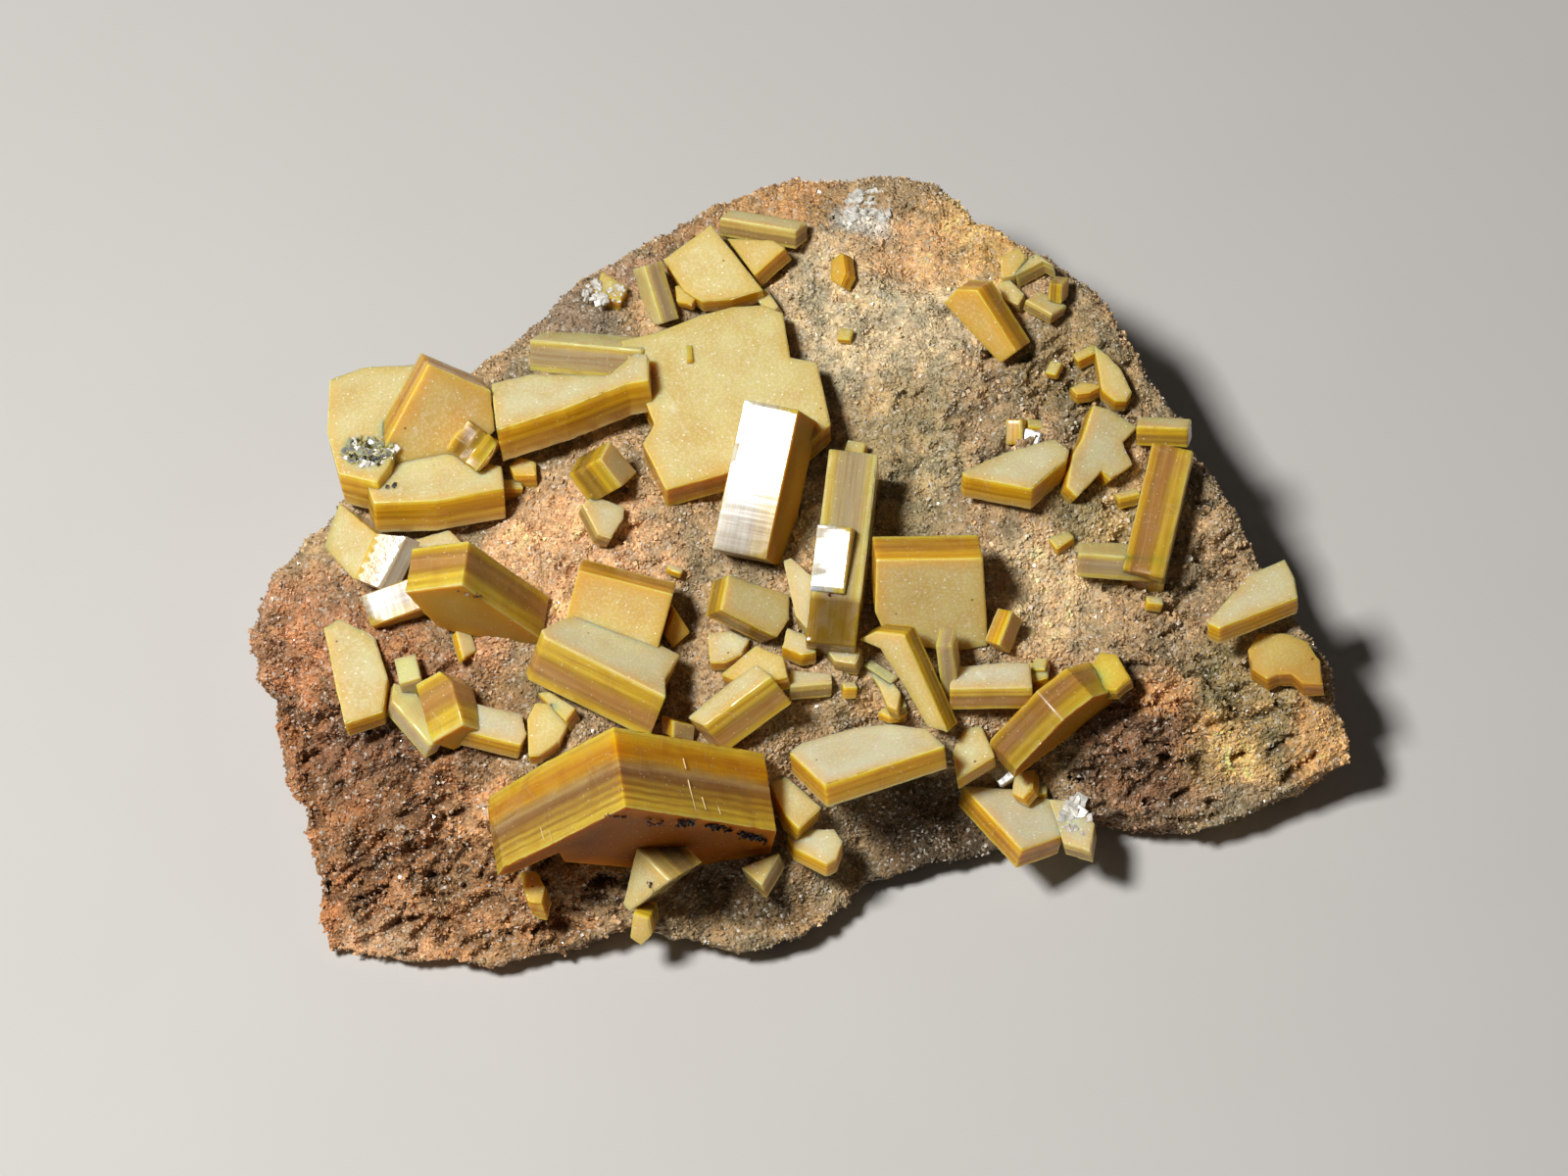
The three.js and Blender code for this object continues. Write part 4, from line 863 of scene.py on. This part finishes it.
def facet_plane(crystal, through, facing):
    """A growth facet's point and direction in the crystal's own millimetres."""
    back = crystal_frame(crystal).inverted()
    normal = (back.to_3x3() @ direction(*facing)).normalized()
    return back @ place(*through), normal


def cut(bm, point, facing, **settings):
    """Cuts the whole mesh with a plane."""
    whole = bm.verts[:] + bm.edges[:] + bm.faces[:]
    return bmesh.ops.bisect_plane(bm, geom=whole, plane_co=point, plane_no=facing, **settings)["geom_cut"]


def raise_prism(bm, crystal):
    """The broad face, drawn down along c, trimmed by its facets and bevelled."""
    corners = [bm.verts.new((x, y, 0)) for x, y in crystal["face"]]
    drawn = bmesh.ops.extrude_face_region(bm, geom=[bm.faces.new(corners)])["geom"]
    moved = [part for part in drawn if isinstance(part, bmesh.types.BMVert)]
    bmesh.ops.translate(bm, vec=(0, 0, -crystal["thick"]), verts=moved)
    bmesh.ops.recalc_face_normals(bm, faces=bm.faces[:])
    for through, facing in crystal.get("facets", []):
        opened = cut(bm, *facet_plane(crystal, through, facing), clear_outer=True)
        bmesh.ops.edgeloop_fill(bm, edges=[part for part in opened if isinstance(part, bmesh.types.BMEdge)])
        bmesh.ops.recalc_face_normals(bm, faces=bm.faces[:])
    bmesh.ops.bevel(bm, geom=bm.edges[:], offset=min(EDGE_BEVEL, crystal["thick"] / 8), offset_type="OFFSET",
                    segments=2, profile=0.5, affect="EDGES", material=-1, clamp_overlap=True)


def cut_grid(bm, crystal):
    """Cuts across the two axes of the broad face, so that it has points to be uneven with."""
    for axis in (0, 1):
        facing = Vector([float(index == axis) for index in range(3)])
        reach = [corner[axis] for corner in crystal["face"]]
        low, high = min(reach), max(reach)
        count = int((high - low) / FACE_GRID)
        for number in range(1, count + 1):
            cut(bm, facing * (low + (high - low) * number / (count + 1)), facing, dist=0.0001)


def cut_growth_steps(bm, crystal, dice):
    """Low steps round the sides, where the crystal paused while it thickened."""
    thick = crystal["thick"]
    count = max(1, round(thick * STEPS_PER_MM))
    levels = sorted(-thick * dice.uniform(0.12, 0.88) for _ in range(count))
    for level in levels:
        for z in (level - STEP_WIDTH / 2, level + STEP_WIDTH / 2):
            cut(bm, (0, 0, z), (0, 0, 1))
    reaches = [dice.uniform(-1, 1) * STEP_HEIGHT * crystal.get("steps", 1) for _ in range(count + 1)]
    bm.normal_update()
    for vert in bm.verts:
        outward = Vector((vert.normal.x, vert.normal.y, 0))
        if abs(vert.normal.z) < 0.3 and -thick + EDGE_BEVEL < vert.co.z < -EDGE_BEVEL:
            step = sum(vert.co.z > level for level in levels)
            vert.co += outward.normalized() * reaches[step]


def outline_distance(point, corners):
    """Distance in the broad face's plane from a point to the crystal's outline."""
    gaps = []
    for start, end in zip(corners, corners[1:] + corners[:1]):
        along = end - start
        share = min(max((point - start).dot(along) / along.length_squared, 0), 1)
        gaps.append((point - start - along * share).length)
    return min(gaps)


def wear_surface(bm, crystal, start):
    """Uneven growth: faces wander by a few hundredths of a millimetre and edges are nibbled."""
    bm.normal_update()
    lumps = crystal.get("lumps", 1)
    facets = [facet_plane(crystal, *facet)[1] for facet in crystal.get("facets", [])]
    for vert in bm.verts:
        spot = vert.co + start
        slope = max([abs(part) for part in vert.normal] + [vert.normal.dot(facet) for facet in facets])
        edge = 1 - min(max((slope - 0.75) / 0.2, 0), 1) if abs(vert.normal.z) > 0.15 else 0
        nibble = max(noise.noise(spot * 1.9), 0) * 0.18 + max(noise.noise(spot * 4.1), 0) * 0.12
        swell = noise.noise(spot * 0.6) + (noise.noise(spot * 1.5) if lumps > 1 else 0)
        vert.co += vert.normal * (UNEVEN * lumps * swell - edge * nibble * crystal.get("ragged", 1))


def deep_colour(crystal, spot):
    """Linear colour that a crystal's clear depth gives it at a spot: white where it is milky."""
    near, far, (x, y), low, high = crystal.get("deep", ("#ffffff", "#ffffff", (1, 0), 0, 1))
    share = min(max((spot.x * x + spot.y * y - low) / (high - low), 0), 1)
    return Vector(linear(near)).lerp(Vector(linear(far)), share * share * (3 - 2 * share))


def record_growth(bm, crystal, start):
    """Keeps on every vertex its place in the crystal, so that bands and frost follow the crystal itself."""
    grown = bm.verts.layers.float_vector.new("grown")
    zone = bm.verts.layers.float_color.new("zone")
    deep = bm.verts.layers.float_color.new("deep")
    corners = [Vector(corner) for corner in crystal["face"]]
    for vert in bm.verts:
        vert[grown] = vert.co + start
        share = min(max(-vert.co.z / crystal["thick"], 0), 1)
        rim = outline_distance(vert.co.xy, corners) / crystal.get("halo", 1)
        vert[zone] = (share, rim, crystal["tint_and_shade"], 1)
        vert[deep] = deep_colour(crystal, vert.co)


def crystal_mesh(crystal, finishes, dice):
    """One crystal as a bmesh in the part's frame; broad faces take finish 0 and sides their zoning's."""
    bm = bmesh.new()
    start = Vector((dice.uniform(0, 90), dice.uniform(0, 90), dice.uniform(0, 90)))
    raise_prism(bm, crystal)
    cut_grid(bm, crystal)
    cut_growth_steps(bm, crystal, dice)
    record_growth(bm, crystal, start)
    bm.normal_update()
    side = finishes.index(crystal["zoning"])
    broad = side if crystal["zoning"] in ("clear", "quartz") else 0
    for face in bm.faces:
        face.material_index = broad if abs(face.normal.z) > 0.9 else side
        face.smooth = True
    wear_surface(bm, crystal, start)
    bm.transform(crystal_frame(crystal))
    return bm


def grow_crystals(name, crystals, seed, replaces=None):
    """One piece of one or more crystals."""
    finishes = ["broad"] + sorted({crystal["zoning"] for crystal in crystals})
    dice = random.Random(seed)
    whole = bmesh.new()
    for crystal in crystals:
        part = as_mesh(crystal_mesh(crystal, finishes, dice), "growing")
        whole.from_mesh(part)
        bpy.data.meshes.remove(part)
    mesh = as_mesh(whole, name)
    mesh.set_sharp_from_angle(angle=math.radians(SHARP_ANGLE))
    materials = [BROAD_FINISH] + [SIDE_FINISHES[zoning] for zoning in finishes[1:]]
    show(name, mesh, materials, replaces)


# ---------- rock: colour and shape ----------


def wavering(points, spacing, seed):
    """Smooth noise of the given spacing in millimetres at an array of points, about -1 to 1."""
    shift = Vector((seed * 17.3, seed * 7.1, seed * 3.7))
    return np.array([noise.noise(Vector(p) / spacing + shift) for p in points])


def swelling(points, swells):
    return sum(height * wavering(points, spacing, seed) for height, spacing, seed in swells)


def off_middle(points, middle, reach):
    """Squared distance of each point from the middle of an ellipse, 1 on its rim."""
    return (((points[:, :2] - middle) / reach) ** 2).sum(axis=1)


def stain_and_shade_colours(points):
    """Linear colour of the rock at an array of table points: stains with wavering borders, two patches of
    painted shade among them, and a mottle.
    """
    drift = np.column_stack([wavering(points, 4, 8), wavering(points, 4, 9)])
    wandered = points[:, :2] + STAIN_DRIFT * drift + 0.6 * np.roll(drift, 1, axis=1)
    colours = np.tile(rgb(ROCK_BASE), (len(points), 1))
    for middle, reach, code, strength in ROCK_STAINS_AND_SHADE:
        share = (strength * np.clip(1.35 - off_middle(wandered, middle, reach), 0, 1))[:, None]
        colours = colours * (1 - share) + rgb(code) * share
    mottle = np.clip(0.5 + 0.9 * wavering(points, 2.4, 10) + 0.7 * wavering(points, 0.9, 12), 0, 1)[:, None]
    return colours * (mottle * np.array(WARM_MOTTLE) + (1 - mottle) * np.array(COOL_MOTTLE))


def crack_depth(points, cracks):
    """How far cracks cut in at each point."""
    depth = np.zeros(len(points))
    for line, half_width, deep in cracks:
        for start, end in zip(line, line[1:]):
            a, b = np.array(start, float), np.array(end, float)
            along = np.clip(((points[:, :2] - a) @ (b - a)) / ((b - a) @ (b - a)), 0, 1)
            gap = np.linalg.norm(points[:, :2] - (a + along[:, None] * (b - a)), axis=1)
            depth = np.maximum(depth, deep * np.clip(1.3 - gap / half_width, 0, 1))
    return depth


def open_seams(dice):
    """Short gaps that run one way through a stretch of the crust, as cracks."""
    seams = []
    for (x, y), (reach_x, reach_y), count, azimuth, (low, high), deep in ROCK_SEAMS:
        for _ in range(count):
            middle = Vector((x + dice.uniform(-reach_x, reach_x), y + dice.uniform(-reach_y, reach_y)))
            half = direction(azimuth + dice.gauss(0, 22), 0).xy * dice.uniform(low, high) / 2
            half_width = dice.uniform(0.16, 0.34)
            seams.append(([middle - half, middle + half], half_width, deep * dice.uniform(0.6, 1.2)))
    return seams


def pit_depth(points, dice):
    """How deep round pits are at each point."""
    tree = KDTree(len(points))
    for index, point in enumerate(points):
        tree.insert(point, index)
    tree.balance()
    upper = points[points[:, 2] > UNDERSIDE * 3]
    depth = np.zeros(len(points))
    for middle, reach, count, (low, high) in ROCK_PITS:
        near = upper[off_middle(upper, middle, reach) < 1]
        for _ in range(count):
            pit = near[dice.randrange(len(near))]
            radius = dice.uniform(low, high)
            for _, index, gap in tree.find_range(pit, radius):
                depth[index] = max(depth[index], 0.8 * radius * (1 - (gap / radius) ** 2))
    return depth


def vectors(items, key):
    """The places or normals of a mesh's vertices, as an array of three columns."""
    flat = np.empty(len(items) * 3)
    items.foreach_get(key, flat)
    return flat.reshape(-1, 3)


def merged_copy(source, name):
    """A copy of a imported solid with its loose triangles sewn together."""
    bm = bmesh.new()
    bm.from_mesh(source.data)
    bmesh.ops.remove_doubles(bm, verts=bm.verts[:], dist=0.000001)
    return as_mesh(bm, name)


def remeshed(mesh, cell):
    """The same solid with an even mesh of the given cell size."""
    holder = in_scene("remeshing", mesh)
    even = holder.modifiers.new("even", "REMESH")
    even.mode = "VOXEL"
    even.voxel_size = cell * MM
    bpy.context.view_layer.update()
    shaped = holder.evaluated_get(bpy.context.evaluated_depsgraph_get())
    result = bpy.data.meshes.new_from_object(shaped)
    bpy.data.objects.remove(holder)
    return result


def rock_mesh():
    """The slab, roughened: lumps, granular crust, pits, seams, cracks and a hackly broken wall."""
    mesh = remeshed(merged_copy(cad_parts["matrix_rock"], "rock_copy"), ROCK_CELL)
    dice = random.Random(7)
    points = vectors(mesh.vertices, "co") / MM + np.array(MIDDLE)
    normals = vectors(mesh.vertex_normals, "vector")
    wall = np.clip(1 - np.abs(normals[:, 2]) * 1.3, 0, 1)
    hackly = np.clip(wall + 0.8 * np.clip(1.3 - off_middle(points, *RUSTY_FLANK), 0, 1), 0, 1)
    push = swelling(points, ROCK_SWELLS) + hackly * swelling(points, WALL_SWELLS)
    push -= crack_depth(points, ROCK_CRACKS) + pit_depth(points, dice)
    push -= crack_depth(points, open_seams(dice)) * np.clip(normals[:, 2] * 1.4, 0, 1)
    push += np.array([dice.uniform(-GRIT, GRIT) for _ in range(len(points))])
    lift = np.clip((points[:, 2] - UNDERSIDE) / 1.2, 0, 1)
    points += normals * (push * lift)[:, None]
    points[:, 2] = np.where(points[:, 2] < UNDERSIDE / 4, 0, points[:, 2])
    mesh.vertices.foreach_set("co", ((points - np.array(MIDDLE)) * MM).ravel())
    # darker in cracks, pits and seams and between the swells, a little lighter on their tops: painted shade
    # in the hollows, over a random mottle
    gaps = 1 + 0.45 * wavering(points, 0.8, 5) + 0.5 * np.clip(push, -0.8, 0.2)
    keep_tone(mesh, np.clip(stain_and_shade_colours(points) * np.clip(gaps, 0.35, 1.4)[:, None], 0, 1))
    return flat_footed(mesh), points, normals


def flat_footed(mesh):
    """Joins the level faces of the underside in one."""
    bm = bmesh.new()
    bm.from_mesh(mesh)
    level = [face for face in bm.faces if all(vert.co.z == 0 for vert in face.verts)]
    bmesh.ops.dissolve_faces(bm, faces=level, use_verts=True)
    bm.to_mesh(mesh)
    bm.free()
    return mesh


def keep_tone(mesh, colours):
    """Stores a linear colour on every vertex."""
    tone = mesh.color_attributes.new("tone", "FLOAT_COLOR", "POINT")
    tone.data.foreach_set("color", np.column_stack([colours, np.ones(len(colours))]).ravel())


def rock_crust_finish():
    """Weathered, iron-stained matrix with a sugary coat: dull, with grains a quarter of a millimetre wide."""
    material, tree, shader = blank_material("sugary_matrix_rock")
    grains = node(tree, "ShaderNodeTexVoronoi", {"Vector": millimetres(tree), "Scale": 4.2}).outputs
    shade = node(tree, "ShaderNodeSeparateColor", {"Color": grains["Color"]}).outputs["Red"]
    colour = filtered(tree, reading(tree, shade, 0, 1, 0.0, 0.6), carried(tree, "tone"), "#96836a")
    colour = mixed(tree, reading(tree, shade, 0.9, 0.93, 0.0, 0.45), colour, linear("#e2d8c4"))
    set_shader(tree, shader, Base_Color=colour, Roughness=reading(tree, shade, 0, 1, 0.95, 0.45),
               Normal=bumped(tree, grains["Distance"], 0.8, 0.0002, invert=True), IOR=1.5)
    return material


# ---------- grains of the crust ----------


def grain_finish(name, roughness, ior):
    """Small blocky grains, glossier than the rock under them and a little clouded."""
    material, tree, shader = blank_material(name)
    cloud = reading(tree, cloudy(tree, millimetres(tree), 3.0, 2.0), 0.4, 0.65, 0.0, 0.35)
    colour = filtered(tree, cloud, carried(tree, "tone"), "#b8a68e")
    set_shader(tree, shader, Base_Color=colour, Roughness=roughness, IOR=ior)
    return material


def grain_template():
    """A low four-sided pyramid of six triangles."""
    bm = bmesh.new()
    bmesh.ops.create_cone(bm, cap_ends=True, segments=4, radius1=0.75, radius2=0, depth=0.8)
    bmesh.ops.triangulate(bm, faces=bm.faces[:])
    corners = np.array([vert.co[:] for vert in bm.verts])
    faces = np.array([[vert.index for vert in face.verts] for face in bm.faces])
    bm.free()
    return corners, faces


def turned_axes(count, draw):
    """Random rotations, as an array of 3 by 3 matrices."""
    q = draw.normal(size=(count, 4))
    w, x, y, z = (q / np.linalg.norm(q, axis=1)[:, None]).T
    return np.stack([
        np.stack([1 - 2 * (y * y + z * z), 2 * (x * y - z * w), 2 * (x * z + y * w)], -1),
        np.stack([2 * (x * y + z * w), 1 - 2 * (x * x + z * z), 2 * (y * z - x * w)], -1),
        np.stack([2 * (x * z - y * w), 2 * (y * z + x * w), 1 - 2 * (x * x + y * y)], -1),
    ], 1)


def scatter_grains(name, places, sizes, colours, material, draw):
    """One mesh of many blocky grains, each turned at random, at the given table points."""
    corners, faces = grain_template()
    stretch = draw.uniform(0.65, 1.3, (len(places), 1, 3)) * sizes[:, None, None]
    shapes = np.einsum("nij,nkj->nki", turned_axes(len(places), draw), corners[None] * stretch)
    points = (shapes + places[:, None, :] - np.array(MIDDLE)) * MM
    index = faces[None] + (np.arange(len(places)) * len(corners))[:, None, None]
    mesh = bpy.data.meshes.new(name)
    mesh.from_pydata(points.reshape(-1, 3).tolist(), [], index.reshape(-1, 3).tolist())
    keep_tone(mesh, np.repeat(colours, len(corners), axis=0))
    show(name, mesh, [material])


def crust_places(points, normals, low, draw):
    """Points a little under the rock's upper side and walls, above the given height."""
    open_side = np.flatnonzero((points[:, 2] > low) & (normals[:, 2] > -0.4))
    picked = open_side[draw.integers(0, len(open_side), GRAINS_IN_PIECE)]
    spread = draw.normal(scale=GRAIN_SPREAD, size=(GRAINS_IN_PIECE, 3))
    return points[picked] + spread - GRAIN_SINK * normals[picked]


def spread_crust(points, normals):
    """Dull grains in the rock's colours, its painted shade patches included, and bright paler ones between
    them.
    """
    draw = np.random.default_rng(11)
    dull = grain_finish("carbonate_grains", 0.5, 1.5)
    bright = grain_finish("quartz_grains", 0.16, 1.55)
    for number in range(CRUST_PIECES):
        places = crust_places(points, normals, 0.7, draw)
        colours = np.clip(stain_and_shade_colours(places) * draw.uniform(0.5, 1.45, (len(places), 1)), 0, 1)
        sizes = 0.13 + 0.16 * draw.random(len(places)) ** 2
        scatter_grains(f"crust_grains_{number + 1}", places, sizes, colours, dull, draw)
    places = crust_places(points, normals, 0.9, draw)
    # the pale share is partly the quartz's own colour and partly a painted glint
    share = draw.uniform(0.25, 0.9, (len(places), 1))
    colours = stain_and_shade_colours(places) * (1 - share) + rgb("#efe9dc") * share
    sizes = 0.11 + 0.15 * draw.random(len(places)) ** 2
    scatter_grains("crust_sparkles", places, sizes, colours, bright, draw)


# ---------- marks on the crystals ----------


def flakes(dice, patch):
    """Thin broken flakes in a patch, most of them turned up towards the light."""
    (x, y, z), (reach_x, reach_y), (climb_x, climb_y), count, (low, high), disorder, zoning = patch
    for _ in range(count):
        size = dice.uniform(low, high)
        step = direction(dice.uniform(0, 360), 0) * math.sqrt(dice.random())
        step = Vector((step.x * reach_x, step.y * reach_y, 0))
        step.z = step.x * climb_x + step.y * climb_y + dice.uniform(0, 0.2)
        axis = (dice.gauss(FLAKE_FACING[0], disorder * 2), dice.gauss(FLAKE_FACING[1], disorder))
        turn = dice.uniform(0, 90)
        thick = dice.uniform(0.15, 0.3)
        yield tablet((x + step.x, y + step.y, z + step.z), axis, turn, thick, zoning, FLAKE_TINT,
                     box(size, size * dice.uniform(0.5, 1)), ragged=0.3, steps=0)


def oxide_marks():
    """Crusts of tiny black and red-brown lumps along the edges of crystals."""
    draw = np.random.default_rng(23)
    places, colours = [], []
    for start, end, count, spread, code in OXIDE_MARKS:
        share = draw.random((count, 1))
        line = np.array(start) * (1 - share) + np.array(end) * share
        places.append(line + draw.normal(scale=spread, size=(count, 3)))
        colours.append(rgb(code) * draw.uniform(0.5, 1.6, (count, 1)))
    places = np.concatenate(places)
    sizes = draw.uniform(0.1, 0.26, len(places))
    finish = grain_finish("manganese_oxide", 0.4, 1.7)
    scatter_grains("oxide_specks", places, sizes, np.concatenate(colours), finish, draw)


def healed_cracks():
    """Thin white veins that stand a hair above a crystal's faces."""
    bm = bmesh.new()
    for start, end, facing, width in HEALED_CRACKS:
        along = Vector(end) - Vector(start)
        across = direction(*facing).cross(along).normalized()
        turned = Matrix((along.normalized(), across, along.cross(across).normalized())).transposed().to_4x4()
        middle = (Vector(start) + Vector(end)) / 2
        shape = Matrix.Scale(MM, 4) @ turned @ Matrix.Diagonal((along.length, width, VEIN_HEIGHT, 1))
        bmesh.ops.create_cube(bm, size=1, matrix=Matrix.Translation(place(*middle)) @ shape)
    bmesh.ops.recalc_face_normals(bm, faces=bm.faces[:])
    mesh = as_mesh(bm, "healed_cracks")
    keep_tone(mesh, np.tile(rgb("#e0cc98"), (len(mesh.vertices), 1)))
    show("healed_cracks", mesh, [grain_finish("healed_crack", 0.3, 1.5)])


# ---------- studio ----------


def set_camera():
    data = bpy.data.cameras.new("camera")
    data.lens = LENS
    data.sensor_width = SENSOR
    data.clip_start = 0.01
    data.clip_end = 20
    camera = in_scene("camera", data)
    camera.location = place(*VIEW_TARGET) + direction(-90, VIEW_TILT) * VIEW_DISTANCE * MM
    camera.rotation_euler = (math.radians(90 - VIEW_TILT), 0, 0)
    bpy.context.scene.camera = camera


def lay_floor():
    """A plain pale painted board."""
    bm = bmesh.new()
    bmesh.ops.create_grid(bm, x_segments=1, y_segments=1, size=FLOOR_HALF)
    mesh = as_mesh(bm, "floor")
    material, tree, shader = blank_material("pale_painted_board")
    mottle = cloudy(tree, node(tree, "ShaderNodeTexCoord").outputs["Object"], 60.0, 2.0)
    paint = mixed(tree, mottle, linear("#c4c1bb"), linear("#c8c5c0"))
    set_shader(tree, shader, Base_Color=paint, Roughness=0.8)
    mesh.materials.append(material)
    in_scene("floor", mesh)


def light_studio():
    """One square lamp at the upper left, and a little light from all round."""
    data = bpy.data.lights.new("key_softbox", "AREA")
    data.shape = "SQUARE"
    data.size = KEY_SIZE
    data.energy = KEY_POWER
    towards = Vector(KEY_TOWARDS).normalized()
    lamp = in_scene("key_softbox", data)
    lamp.location = place(*VIEW_TARGET) + towards * KEY_DISTANCE
    lamp.rotation_euler = towards.to_track_quat("Z", "Y").to_euler()
    world = bpy.data.worlds.new("soft_room")
    world.use_nodes = True
    room = world.node_tree.nodes["Background"]
    room.inputs["Color"].default_value = linear("#e2e2e2")
    room.inputs["Strength"].default_value = 0.05
    bpy.context.scene.world = world
    bpy.context.scene.view_settings.view_transform = "Standard"


# ---------- the specimen ----------

set_camera()
light_studio()
lay_floor()

rock, rock_points, rock_normals = rock_mesh()
show("weathered_rock", rock, [rock_crust_finish()], "matrix_rock")
spread_crust(rock_points, rock_normals)

for number, (node_name, crystals) in enumerate(CRYSTALS.items()):
    grow_crystals(node_name + "_zoned", crystals, 100 + number, node_name)
grow_crystals("young_crystals", YOUNG_CRYSTALS, 99)

dice = random.Random(5)
for name, patch in FLAKE_PATCHES.items():
    grow_crystals(name, list(flakes(dice, patch)), 98)
oxide_marks()
healed_cracks()
